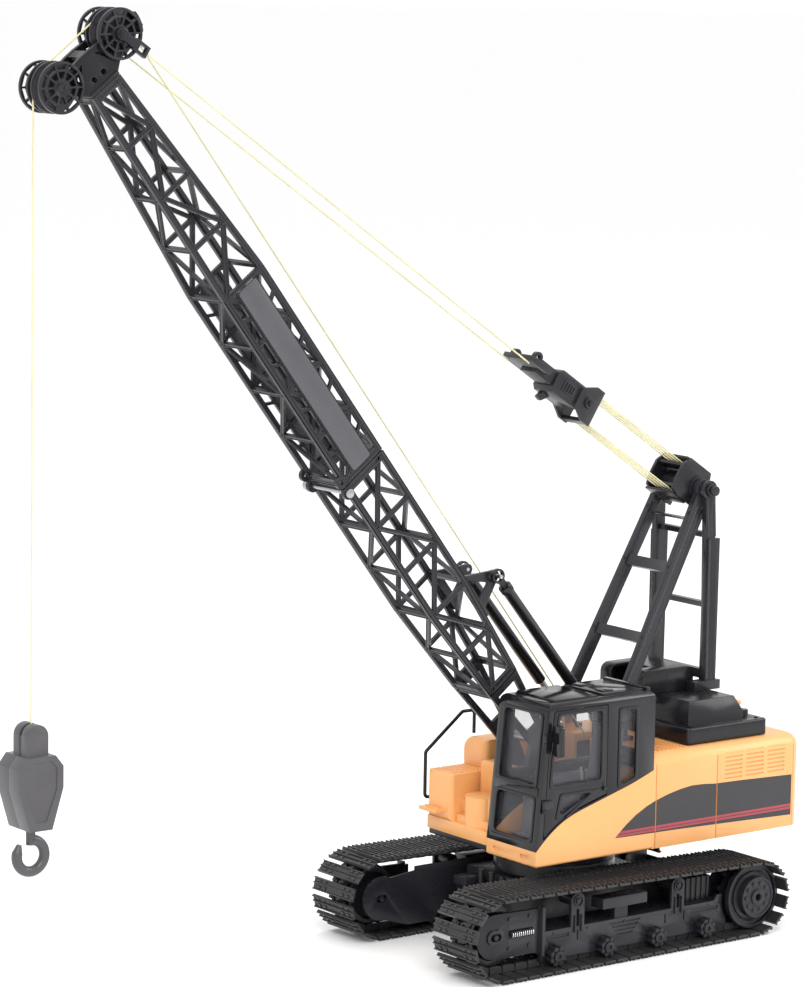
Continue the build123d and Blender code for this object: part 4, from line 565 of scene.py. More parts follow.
def grown(name, mesh, tree, values):
    """Run a node tree on a mesh and keep the result as a plain mesh."""
    carrier = bpy.data.objects.new(name + "_carrier", mesh)
    bpy.context.scene.collection.objects.link(carrier)
    modifier = carrier.modifiers.new("Grown", "NODES")
    modifier.node_group = tree
    sockets = {item.name: item.identifier for item in tree.interface.items_tree
               if item.item_type == "SOCKET" and item.in_out == "INPUT"}
    for label, value in values.items():
        modifier[sockets[label]] = value
    bpy.context.view_layer.update()
    graph = bpy.context.evaluated_depsgraph_get()
    result = bpy.data.meshes.new_from_object(carrier.evaluated_get(graph))
    result.name = name
    carrier.modifiers.remove(modifier)
    bpy.data.objects.remove(carrier)
    if not result.polygons:
        raise RuntimeError(name + " came out empty")
    return result


def repeated(name, moulding, spots, finish, body, stands_for=()):
    """Set one moulding at many spots. Each spot is (point, Euler turn, stretch)."""
    points = bpy.data.meshes.new(name + "_points")
    points.from_pydata([tuple(p) for p, _, _ in spots], [], [])
    turn = points.attributes.new("turn", "FLOAT_VECTOR", "POINT")
    stretch = points.attributes.new("stretch", "FLOAT_VECTOR", "POINT")
    for i, (_, angles, size) in enumerate(spots):
        turn.data[i].vector = tuple(angles)
        stretch.data[i].vector = tuple(size)
    unit = bpy.data.objects.new(name + "_unit", moulding)
    bpy.context.scene.collection.objects.link(unit)
    mesh = grown(name, points, laid_out_pieces(), {"Moulding": unit, "Finish": FINISH[finish]})
    bpy.data.objects.remove(unit)
    for attribute in ("turn", "stretch"):
        if attribute in mesh.attributes:
            mesh.attributes.remove(mesh.attributes[attribute])
    finished(name, mesh, finish, body, stands_for)


def rope(name, paths, sizes, step=0.0008):
    """Twisted rope along one or more paths, as a plain mesh."""
    mesh = bpy.data.meshes.new(name + "_path")
    points, edges = [], []
    for path in paths:
        start = len(points)
        points += [tuple(p) for p in path]
        edges += [(start + i, start + i + 1) for i in range(len(path) - 1)]
    mesh.from_pydata(points, edges, [])
    return grown(name, mesh, twisted_rope(), {"Strand": sizes.strand, "Lay": sizes.rope_lay, "Step": step,
                                              "Finish": FINISH["rope_cream"]})


# ---- boom ---------------------------------------------------------------

def on_boom(u, w, v):
    """Point at u along the boom, w across it and v square to it, in metres."""
    return BOOM_FOOT + BOOM_ALONG * u + Vector((0, w, 0)) + HEAD_ACROSS * v


def along_boom(u, v, w):
    """Point on the boom for a plate's outline: along it, square to it, then the level across it."""
    return on_boom(u, w, v)


def boom_ring(sizes, k):
    """Half width and half depth of the boom at post k, and the post's distance along it."""
    u = sizes.first_node + k * sizes.bay
    depth = sizes.half_depth
    if k < 2:
        depth = sizes.base_half_depth + (sizes.half_depth - sizes.base_half_depth) * k / 2
    width = sizes.half_width
    over = k - sizes.lower_bays - sizes.straight_bays
    if over > 0:
        share = over / sizes.taper_bays
        width += (sizes.tip_half_width - width) * share
        depth += (sizes.tip_half_depth - depth) * share
    return u, width, depth


SECTION_GAP = 0.0006


def boom_section(sizes, first, last):
    """Four grooved lattices between two posts, as one mesh."""
    bm = bmesh.new()
    thick, groove, chord, brace = sizes.bar_thickness, sizes.groove, sizes.chord, sizes.brace
    for k in range(first, last):
        u0, w0, d0 = boom_ring(sizes, k)
        u1, w1, d1 = boom_ring(sizes, k + 1)
        if k == first:
            u0 += SECTION_GAP
        if k == last - 1:
            u1 -= SECTION_GAP
        for s in (-1, 1):
            out = Vector((0, s, 0))
            for t in (-1, 1):
                a = on_boom(u0, s * w0, t * (d0 - chord / 2))
                b = on_boom(u1, s * w1, t * (d1 - chord / 2))
                grooved_bar(bm, a, b, out, chord, thick, groove)
            ends = (-1, 1) if (k - first) % 2 else (1, -1)
            a = on_boom(u0, s * w0, ends[1] * (d0 - chord))
            b = on_boom(u1, s * w1, ends[0] * (d1 - chord))
            grooved_bar(bm, a, b, out, brace, thick * 0.86, groove)
            out = HEAD_ACROSS * s
            for t in (-1, 1):
                a = on_boom(u0, t * (w0 - chord / 2), s * d0)
                b = on_boom(u1, t * (w1 - chord / 2), s * d1)
                grooved_bar(bm, a, b, out, chord, thick, groove)
            a = on_boom(u0, ends[0] * (w0 - chord), s * d0)
            b = on_boom(u1, ends[1] * (w1 - chord), s * d1)
            grooved_bar(bm, a, b, out, brace, thick * 0.86, groove)
    for k in range(first, last + 1):
        u, w, d = boom_ring(sizes, k)
        wide = brace
        if k in (first, last):
            wide = chord * 1.25
            u += (wide / 2 + 0.0004) * (1 if k == first else -1)
        for s in (-1, 1):
            grooved_bar(bm, on_boom(u, s * w, -d + chord * 0.5), on_boom(u, s * w, d - chord * 0.5),
                        Vector((0, s, 0)), wide, thick * 0.92, groove)
            grooved_bar(bm, on_boom(u, -w + chord * 0.5, s * d), on_boom(u, w - chord * 0.5, s * d),
                        HEAD_ACROSS * s, wide, thick * 0.92, groove)
    return bm


def boom_ear(bm, sizes, s):
    """Foot plate of the lower section, with its round eye and lightening hole, on side s."""
    thick, eye, bore, waist = 0.0032, 0.008, 0.0031, 0.0102
    near, far = sorted((s * sizes.half_width, s * (sizes.half_width - thick)))
    post, _, depth = boom_ring(sizes, 0)
    post += 0.002
    outline = arc(0, 0, eye, 90, 180, 28)
    outline += [(post * 0.35, -waist), (post, -depth), (post, depth), (post * 0.35, waist)]
    window = [(0.0145, -0.0046), (post - 0.0065, -0.0092), (post - 0.0065, 0.0092), (0.0145, 0.0046)]
    plate_with_holes(bm, outline, [circle(0, 0, bore, 24), window], along_boom, near, far)


def plate_with_holes(bm, outline, holes, place, near, far):
    """Flat plate with holes through it, from outlines in two coordinates."""
    faces = []
    for level in (near, far):
        edges = []
        for loop in [outline] + holes:
            ring = [bm.verts.new(place(x, z, level)) for x, z in loop]
            edges += [bm.edges.new((ring[i], ring[(i + 1) % len(ring)])) for i in range(len(ring))]
        filled = bmesh.ops.triangle_fill(bm, edges=edges, use_beauty=True)
        faces.append((edges, [f for f in filled["geom"] if isinstance(f, bmesh.types.BMFace)]))
    for low, high in zip(faces[0][0], faces[1][0]):
        bm.faces.new((low.verts[0], low.verts[1], high.verts[1], high.verts[0]))


def rounded_outline(points, grow, radius, steps=5):
    """A convex outline moved outwards by grow, with its corners rounded."""
    count = len(points)
    middle = sum((Vector(p) for p in points), Vector((0, 0))) / count
    corners = []
    for i in range(count):
        lines = []
        for a, b in ((points[i - 1], points[i]), (points[i], points[(i + 1) % count])):
            a, b = Vector(a), Vector(b)
            out = Vector((b.y - a.y, a.x - b.x)).normalized()
            if out.dot((a + b) / 2 - middle) < 0:
                out = -out
            lines.append((a + out * grow, (b - a).normalized()))
        (p, d), (q, e) = lines
        span = d.x * e.y - d.y * e.x
        corners.append(p + d * (((q.x - p.x) * e.y - (q.y - p.y) * e.x) / span))
    outline = []
    for i, corner in enumerate(corners):
        before, after = corners[i - 1] - corner, corners[(i + 1) % count] - corner
        half = before.angle(after) / 2
        cut = min(radius / math.tan(half), 0.45 * min(before.length, after.length))
        start, end = corner + before.normalized() * cut, corner + after.normalized() * cut
        for k in range(steps + 1):
            t = k / steps
            outline.append(tuple(start * (1 - t) ** 2 + corner * (2 * t * (1 - t)) + end * t * t))
    return outline


def sheave_bolt(name):
    """Round-headed bolt lying along Y, one unit across."""
    bm = bmesh.new()
    bmesh.ops.create_cone(bm, cap_ends=True, segments=18, radius1=0.5, radius2=0.42, depth=0.5,
                          matrix=Matrix.Rotation(math.pi / 2, 4, "X"))
    bmesh.ops.create_cone(bm, cap_ends=True, segments=6, radius1=0.24, radius2=0.24, depth=0.8,
                          matrix=Matrix.Rotation(math.pi / 2, 4, "X"))
    return rounded(bm, name, 0.03, 1)


class CRANE_OT_boom(Operator):
    """Lattice boom: two grooved sections, foot plates, strut brackets, cover panels, head and pins"""

    bl_idname = "crane.boom"
    bl_label = "Boom"

    def execute(self, context):
        sizes = context.scene.crane_sizes
        joint = sizes.lower_bays
        last = sizes.lower_bays + sizes.straight_bays + sizes.taper_bays
        bm = boom_section(sizes, 0, joint)
        for s in (-1, 1):
            boom_ear(bm, sizes, s)
            self.joint_boss(bm, sizes, joint, -1, s)
            self.strut_bracket(bm, sizes, s)
        u, w, d = boom_ring(sizes, 0)
        grooved_bar(bm, on_boom(u - 0.001, -w + 0.003, -d + 0.001), on_boom(u - 0.001, w - 0.003, -d + 0.001),
                    HEAD_ACROSS * -1, 0.005, 0.0035, sizes.groove)
        finished("boom_lower_lattice", rounded(bm, "boom_lower_lattice", 0.00018, 1), "boom_grey", "boom",
                 ["boom_lower"])
        bm = boom_section(sizes, joint, last)
        for s in (-1, 1):
            self.joint_boss(bm, sizes, joint, 1, s)
        finished("boom_upper_lattice", rounded(bm, "boom_upper_lattice", 0.00018, 1), "boom_grey", "boom",
                 ["boom_upper"])
        self.cover_panels(sizes, joint, joint + sizes.straight_bays)
        moulded("boom_head", 0.00030, "hood_black", "boom", name="boom_head_casting")
        moulded("boom_pins", 0.00025, "pin_steel", "boom", name="boom_pin_set")
        for node in ("upper_sheaves", "front_sheaves"):
            moulded(node, 0.00022, "sheave_black", node, name=node + "_spoked")
        head_half, cap = 0.0169, (0.0062, 0.0022, 0.0062)
        spots = [(axle + Vector((0, s * head_half, 0)), (0, 0, 0), cap)
                 for axle in (BOOM_HEAD_AXLE, FRONT_AXLE) for s in (-1, 1)]
        repeated("axle_caps", sheave_bolt("axle_cap"), spots, "hood_black", "boom")
        return {"FINISHED"}

    def joint_boss(self, bm, sizes, post, end, s):
        """Round lug at a lower corner where the sections pin together."""
        u, w, _ = boom_ring(sizes, post)
        u += end * 0.005
        pin_line, lug, bore = -0.020, 0.0046, 0.0017
        near, far = sorted((s * w * 0.86, s * (w + 0.0003)))
        plate_with_holes(bm, circle(u, pin_line, lug, 28), [circle(u, pin_line, bore, 16)], along_boom,
                         near, far)

    def strut_bracket(self, bm, sizes, s):
        """Standing lug that carries a backstop's upper pin."""
        d = sizes.half_depth
        u0, u1 = sizes.first_node + 1.2 * sizes.bay, sizes.first_node + 2.1 * sizes.bay
        pin_u, pin_v, lug, bore = 0.124, 0.043, 0.0040, 0.0016
        inner, outer, foot = 0.0136, 0.0166, 0.0178
        outline = [(u0, d - 0.003), (u1, d - 0.003)] + arc(pin_u, pin_v, lug, 12, 156, 11)
        window = [(u0 + 0.0105, d + 0.0030), (u1 - 0.0085, d + 0.0030), (pin_u + 0.0005, pin_v - 0.0080),
                  (pin_u - 0.0008, pin_v - 0.0080)]
        near, far = sorted((s * inner, s * outer))
        plate_with_holes(bm, outline, [circle(pin_u, pin_v, bore, 16), window], along_boom, near, far)
        grooved_bar(bm, on_boom(u0, s * foot, d), on_boom(u1, s * foot, d), HEAD_ACROSS,
                    0.0082, 0.003, 0.0003)

    def cover_panels(self, sizes, first, last):
        """Plain rounded panels over the straight bays, framed by slotted rails."""
        u0 = boom_ring(sizes, first)[0] + 0.005
        u1 = boom_ring(sizes, last)[0] - 0.002
        top, bottom, corner, slots = 0.0092, -0.0082, 0.0022, 8
        for s, side in ((1, "left"), (-1, "right")):
            out = Vector((0, s, 0))
            wall = s * sizes.half_width
            bm = bmesh.new()
            outline = []
            for u, v, start in ((u1 - corner, top - corner, 0), (u0 + corner, top - corner, 90),
                                (u0 + corner, bottom + corner, 180), (u1 - corner, bottom + corner, 270)):
                outline += arc(u, v, corner, start, 90, 5)
            low, high = sorted((s * (sizes.half_width - 0.0008), s * (sizes.half_width + 0.0014)))
            plate_with_holes(bm, outline, [], along_boom, low, high)
            name = "cover_panel_" + side
            finished(name, rounded(bm, name, 0.0004, 2), "panel_grey", "boom", ["boom_panels"])
            rim = bmesh.new()
            for v in (0.0098, -0.0088):
                grooved_bar(rim, on_boom(u0 - 0.001, wall, v), on_boom(u1 + 0.001, wall, v), out,
                            0.0022, 0.0028, 0.0003)
            for i in range(slots + 1):
                u = u0 + (u1 - u0) * i / slots
                lean = 0.0022 * (1 if i % 2 else -1)
                for v, t in ((0.0125, 1), (-0.0115, -1)):
                    grooved_bar(rim, on_boom(u - lean, wall, v - t * 0.0028),
                                on_boom(u + lean, wall, v + t * 0.0042), out, 0.0022, 0.0026, 0.0003)
            name = "panel_rails_" + side
            finished(name, rounded(rim, name, 0.00015, 1), "boom_grey", "boom")


# ---- tracks -------------------------------------------------------------

def chain_spots(sizes, side):
    """Middle and lean of every link of one chain."""
    rear, front = pivot("sprocket_%s_spin" % side), pivot("idler_%s_spin" % side)
    small, large = sizes.sprocket_pitch, sizes.idler_pitch
    dx, dz = front.x - rear.x, front.z - rear.z
    apart = math.hypot(dx, dz)
    tangent = math.atan2(dz, dx) + math.acos((small - large) / apart)
    lengths = (dx, large * (tangent + math.pi / 2), math.sqrt(apart ** 2 - (large - small) ** 2),
               small * (1.5 * math.pi - tangent))
    pitch = 2 * math.pi * small / sizes.sprocket_teeth
    links = round(sum(lengths) / pitch)

    def at(s):
        if s < lengths[0]:
            return rear.x + s, sizes.shoe_reach
        s -= lengths[0]
        if s < lengths[1]:
            a = -math.pi / 2 + s / large
            return front.x + large * math.cos(a), front.z + large * math.sin(a)
        s -= lengths[1]
        if s < lengths[2]:
            share = s / lengths[2]
            x0, z0 = front.x + large * math.cos(tangent), front.z + large * math.sin(tangent)
            x1, z1 = rear.x + small * math.cos(tangent), rear.z + small * math.sin(tangent)
            return x0 + (x1 - x0) * share, z0 + (z1 - z0) * share
        a = tangent + (s - lengths[2]) / small
        return rear.x + small * math.cos(a), rear.z + small * math.sin(a)

    spots = []
    for k in range(links):
        x0, z0 = at(k * pitch)
        x1, z1 = at((k + 1) % links * pitch)
        lean = -math.atan2(z1 - z0, x1 - x0)
        spots.append((Vector(((x0 + x1) / 2, front.y, (z0 + z1) / 2)), (0, lean, 0), (1, 1, 1)))
    return spots, pitch


def track_shoe(sizes, pitch):
    """One shoe with three ridges, chamfered ends, bolt pads, guide ears and its pin."""
    bm = bmesh.new()
    half, reach = sizes.shoe_width / 2, sizes.shoe_reach
    top = -reach + 0.0030
    length = pitch - 0.0019
    end = length / 2
    prism(bm, [(-end, top - 0.0016), (end, top - 0.0016), (end, top - 0.0002), (end - 0.0008, top),
               (-end + 0.0008, top), (-end, top - 0.0002)], -half, half)
    for x, wide in ((-end + 0.0006, 0.0006), (0.0004, 0.0007), (end - 0.0006, 0.0006)):
        prism(bm, [(x - wide, top - 0.0015), (x - wide * 0.62, -reach), (x + wide * 0.62, -reach),
                   (x + wide, top - 0.0015)], -half + 0.0003, half - 0.0003)
    joint = pitch / 2
    pad, ear_y, ear_half, lug_y, lug_half, pin_half = 0.0016, 0.0048, 0.0015, 0.0022, 0.0009, 0.0062
    ear = [(-joint - 0.0019, -0.0012), (-joint - 0.0010, 0.0018), (-joint + 0.0006, 0.0024),
           (joint - 0.0036, 0.0024), (joint - 0.0026, 0.0016), (joint - 0.0026, top), (-joint - 0.0012, top)]
    lug = [(joint - 0.0032, top), (joint + 0.0012, top + 0.0006), (joint + 0.0011, 0.0006),
           (joint - 0.0032, 0.0009)]
    for s in (-1, 1):
        for y in (0.0108, 0.0172):
            for near, far in ((-0.0034, -0.0010), (0.0018, 0.0040)):
                block(bm, (near, s * y - pad, top - 0.0024), (far, s * y + pad, top - 0.0014))
        prism(bm, ear, s * ear_y - ear_half, s * ear_y + ear_half)
        prism(bm, lug, s * lug_y - lug_half, s * lug_y + lug_half)
    round_rod(bm, (joint, -pin_half, 0), (joint, pin_half, 0), 0.0010, 12)
    return rounded(bm, "track_shoe", 0.00022, 1, 40)


class CRANE_OT_tracks(Operator):
    """Shoe chains laid round the sprockets and idlers"""

    bl_idname = "crane.tracks"
    bl_label = "Tracks"

    def execute(self, context):
        sizes = context.scene.crane_sizes
        for side in ("left", "right"):
            spots, pitch = chain_spots(sizes, side)
            repeated("shoe_chain_" + side, track_shoe(sizes, pitch), spots, "track_black", "undercarriage",
                     ["track_" + side])
        return {"FINISHED"}


class CRANE_OT_running_gear(Operator):
    """Track frames, sprockets, idlers, rollers, tension springs, car body and slewing ring"""

    bl_idname = "crane.running_gear"
    bl_label = "Running gear"

    def execute(self, context):
        for node, width in (("car_body", 0.0008), ("slew_ring", 0.0005), ("track_motors", 0.0005),
                            ("track_frame_left", 0.00035), ("track_frame_right", 0.00035)):
            finish = "hood_black" if node == "track_motors" else "frame_black"
            moulded(node, width, finish, "undercarriage")
        for node in sorted(frame["nodes"]):
            if node.startswith(("idler_", "sprocket_", "road_wheel_", "carrier_")):
                moulded(node, 0.00035, "frame_black", node)
        self.springs()
        self.bolts()
        return {"FINISHED"}

    def springs(self):
        """Coil springs that keep the chains tight, each round its guide rod."""
        low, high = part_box("tension_springs")
        y, z = high.y - 0.0025, (low.z + high.z) / 2
        points = bpy.data.meshes.new("spring_ends")
        points.from_pydata([(low.x, y, z), (low.x, -y, z)], [], [])
        coil = grown("tension_coils", points, coiled_wire(),
                     {"Length": high.x - low.x, "Radius": 0.0020, "Wire": 0.00048, "Turns": 11.0,
                      "Finish": FINISH["spring_steel"]})
        finished("tension_coils", coil, "spring_steel", "undercarriage", ["tension_springs"])
        bm = bmesh.new()
        for s in (-1, 1):
            round_rod(bm, (low.x, s * y, z), (high.x, s * y, z), 0.0012, 14)
        finished("spring_guides", rounded(bm, "spring_guides", 0.0002, 1), "frame_black", "undercarriage")

    def bolts(self):
        """Cross-head screws on the frames and bolts on the hub covers."""
        flat = (0, 0, 0)
        frame_face, sill_face = 0.0807, 0.0801
        spots = []
        for s in (-1, 1):
            for x in (0.088, pivot("idler_left_spin").x - 0.013):
                for z in (0.0205, 0.0415):
                    spots.append((Vector((x, s * frame_face, z)), flat, (0.0036, 0.0016, 0.0036)))
            for x in (-0.080, -0.045, 0.0, 0.035, 0.066):
                spots.append((Vector((x, s * sill_face, 0.0255)), flat, (0.0020, 0.0010, 0.0020)))
        repeated("frame_screws", sheave_bolt("frame_screw"), spots, "frame_black", "undercarriage")
        for side, s in (("left", 1), ("right", -1)):
            hub = pivot("sprocket_%s_spin" % side)
            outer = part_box("sprocket_" + side)[1 if s > 0 else 0].y - s * 0.0009
            spots = [(Vector((x, outer, z)), flat, (0.0032, 0.0014, 0.0032))
                     for x, z in circle(hub.x, hub.z, 0.0102, 10)]
            repeated("hub_bolts_" + side, sheave_bolt("hub_bolt"), spots, "frame_black", "sprocket_" + side)


# ---- body ---------------------------------------------------------------

# The printed panel's outline and the edges of its three lengths, in millimetres along and up the side.
SIDE_PANEL = [(-1, 82.7), (-3, 84.6), (-10, 90.4), (-20, 97.2), (-30, 102.2), (-38, 105.2), (-50, 108.6),
              (-62, 111.0), (-73, 112.3), (-85, 112.0), (-95, 111.0), (-120, 110.5), (-171.4, 108.8),
              (-172, 108.2), (-172, 79.2), (-171.4, 78.5), (-120, 80.0), (-60, 81.6), (-6, 82.4)]
PANEL_EDGES = (1.0, -38.8, -97.5, -172.0)
HALF_GAP = 0.45
INK = 0.00010


class CRANE_OT_casing(Operator):
    """Orange body with printed side panels, hood, winch cover, front platform, handrail and deck"""

    bl_idname = "crane.casing"
    bl_label = "Casing"

    def execute(self, context):
        for node, width, finish in (("body_shell", 0.0006, "body_orange"),
                                    ("front_platform", 0.0007, "body_orange"),
                                    ("engine_hood", 0.0006, "hood_black"),
                                    ("winch_cover", 0.0006, "hood_black"),
                                    ("handrail", 0.0, "hood_black"), ("deck", 0.0005, "deck_black")):
            moulded(node, width, finish, "upper")
        self.side_print()
        self.hood_details()
        return {"FINISHED"}

    def side_print(self):
        """Printed panel and double stripe on both sides, laid on the wall."""
        for s, side in ((1, "left"), (-1, "right")):
            wall = BODY_SIDE + 0.00003
            for name, finish, low, high, lift in (("side_panel", "decal_black", None, None, 0.0),
                                                  ("stripe_low", "decal_red", 83.0, 84.5, 0.00008),
                                                  ("stripe_high", "decal_red", 85.1, 86.9, 0.00008)):
                bm = bmesh.new()
                for right, left in zip(PANEL_EDGES, PANEL_EDGES[1:]):
                    outline = clipped(SIDE_PANEL, left + HALF_GAP, right - HALF_GAP)
                    if low is not None:
                        outline = band(outline, low, high)
                    if len(outline) < 3:
                        continue
                    near, far = sorted((s * wall, s * (wall + INK + lift)))
                    prism(bm, [(x * MM, z * MM) for x, z in outline], near, far)
                finished(name + "_" + side, rounded(bm, name + "_" + side, 0), finish, "upper")

    def hood_details(self):
        """Screws at the hood's corners and the orange filler cap."""
        low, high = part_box("engine_hood")
        inset, roof = 0.006, 0.1518
        spots = [(Vector((x, y, roof)), (math.pi / 2, 0, 0), (0.0030, 0.0012, 0.0030))
                 for x in (low.x + inset, high.x - inset) for y in (low.y + inset, high.y - inset)]
        repeated("hood_screws", sheave_bolt("hood_screw"), spots, "hood_black", "upper")
        knob = bmesh.new()
        cap_x, cap_y = -0.1455, 0.030
        for foot, top, radius in ((0.1515, 0.1590, 0.0034), (0.1585, 0.1612, 0.0052)):
            round_rod(knob, (cap_x, cap_y, foot), (cap_x, cap_y, top), radius, 24)
        finished("filler_cap", rounded(knob, "filler_cap", 0.0005, 2), "body_orange", "upper")


def clipped(outline, left, right):
    """Part of an outline between two upright lines."""
    for limit, keep in ((left, 1), (right, -1)):
        result = []
        for i, here in enumerate(outline):
            before = outline[i - 1]
            inside, was = keep * (here[0] - limit) >= 0, keep * (before[0] - limit) >= 0
            if inside != was:
                share = (limit - before[0]) / (here[0] - before[0])
                result.append((limit, before[1] + (here[1] - before[1]) * share))
            if inside:
                result.append(here)
        outline = result
        if not outline:
            return []
    return outline


def band(outline, low, high):
    """Part of an outline between two level lines."""
    turned = [(z, x) for x, z in outline]
    return [(x, z) for z, x in clipped(turned, low, high)]


# ---- cab ----------------------------------------------------------------

class CRANE_OT_cab(Operator):
    """Glossy cab with sealed windows, hinged door, fittings and seat"""

    bl_idname = "crane.cab"
    bl_label = "Cab"

    def execute(self, context):
        for node, width, finish, body in (("cab_shell", 0.0006, "cab_black", "upper"),
                                          ("cab_door", 0.0005, "cab_black", "door"),
                                          ("cab_fittings", 0.0002, "hood_black", "upper"),
                                          ("seat", 0.0012, "seat_grey", "upper"),
                                          ("cab_windows", 0.0, "window_clear", "upper"),
                                          ("door_glass", 0.0, "window_clear", "door")):
            moulded(node, width, finish, body)
        self.window_seals()
        return {"FINISHED"}

    def window_seals(self):
        """Raised seals with rounded corners round the door's, side and front windows."""
        leaf = ((13, 127), (60, 127), (58, 150), (53, 178), (13, 178))
        low = ((54, 103), (50, 120), (16, 120), (34, 113))
        quarter = ((-19, 125), (-3, 120), (-3, 176), (-19, 176))
        outside, inside = 0.0013, -0.0009
        for name, windows, body in (("door_seals", (leaf, low), "door"),
                                    ("quarter_seal", (quarter,), "upper")):
            bm = bmesh.new()
            for window in windows:
                points = [(x * MM, z * MM) for x, z in window]
                plate_with_holes(bm, rounded_outline(points, outside, 0.0028),
                                 [rounded_outline(points, inside, 0.0034)],
                                 lambda x, z, y: Vector((x, y, z)), BODY_SIDE - 0.0010, BODY_SIDE + 0.0006)
            finished(name, rounded(bm, name, 0.0003, 2), "cab_black", body)
        foot, top = Vector((0.0720, 0, 0.0815)), Vector((0.0620, 0, 0.1860))
        up = (top - foot).normalized()
        out = Vector((up.z, 0, -up.x))

        def on_windscreen(y, rise, level):
            return foot + up * rise + out * level + Vector((0, y, 0))

        bm = bmesh.new()
        for low_z, high_z in ((0.127, 0.178), (0.088, 0.119)):
            a, b = (low_z - foot.z) / up.z, (high_z - foot.z) / up.z
            points = [(0.017, a), (0.059, a), (0.059, b), (0.017, b)]
            plate_with_holes(bm, rounded_outline(points, outside, 0.0034),
                             [rounded_outline(points, inside, 0.0042)], on_windscreen, -0.0010, 0.0007)
        finished("front_seals", rounded(bm, "front_seals", 0.0003, 2), "cab_black", "upper")


# ---- gantry and suspension ---------------------------------------------

class CRANE_OT_gantry(Operator):
    """Gantry legs and posts, head block, backstops and bridle"""

    bl_idname = "crane.gantry"
    bl_label = "Gantry"

    def execute(self, context):
        for node, width, finish, body in (("gantry_front_legs", 0.0005, "boom_grey", "upper"),
                                          ("gantry_rear_posts", 0.0005, "boom_grey", "upper"),
                                          ("gantry_head", 0.0004, "boom_grey", "gantry_head"),
                                          ("backstop_barrels", 0.0003, "strut_black", "strut_barrels"),
                                          ("backstop_rods", 0.0003, "pin_steel", "strut_rods"),
                                          ("bridle", 0.0004, "sheave_black", "suspension")):
            moulded(node, width, finish, body)
        self.channel_rims()
        return {"FINISHED"}

    def channel_rims(self):
        """Raised rims along the outer faces of legs and posts, and screws down the front legs."""
        bm = bmesh.new()
        spots = []
        thick, groove = 0.0009, 0.0006
        leg_face = Vector((0.91, 0, 0.42))
        lean = math.atan2(leg_face.x, leg_face.z)
        leg_top, leg_foot = Vector((-0.125, BOOM_Y, 0.314)), Vector((-0.048, BOOM_Y, 0.168))
        for s in (-1, 1):
            side = (0, s, 0)
            top = GANTRY_AXLE + Vector((0.0030, s * 0.0250, -0.0135))
            knee = Vector((-0.0485, BOOM_Y + s * 0.0320, 0.1690))
            grooved_bar(bm, top, knee, side, 0.0084, thick, groove)
            top_y, foot_y = BOOM_Y + s * 0.0276, BOOM_Y + s * 0.0290
            grooved_bar(bm, (-0.1293, top_y + s * 0.0028, 0.3070),
                        (-0.1304, top_y + s * 0.0031, 0.2830), side, 0.0084, thick, groove)
            grooved_bar(bm, (-0.1308, (top_y + foot_y) / 2 + s * 0.0043, 0.2815),
                        (-0.1310, foot_y + s * 0.0037, 0.1770), side, 0.0098, thick, groove)
            for t in (0.10, 0.36, 0.70):
                outward = Vector((0, s * (0.0220 + 0.0070 * t), 0))
                spot = leg_top.lerp(leg_foot, t) + leg_face * 0.0047 + outward
                spots.append((spot, (math.pi / 2, lean, 0), (0.0028, 0.0012, 0.0028)))
        finished("channel_rims", rounded(bm, "channel_rims", 0.0002, 1), "boom_grey", "upper")
        repeated("gantry_screws", sheave_bolt("gantry_screw"), spots, "boom_grey", "upper")


ROPE_RADIUS = 0.0138


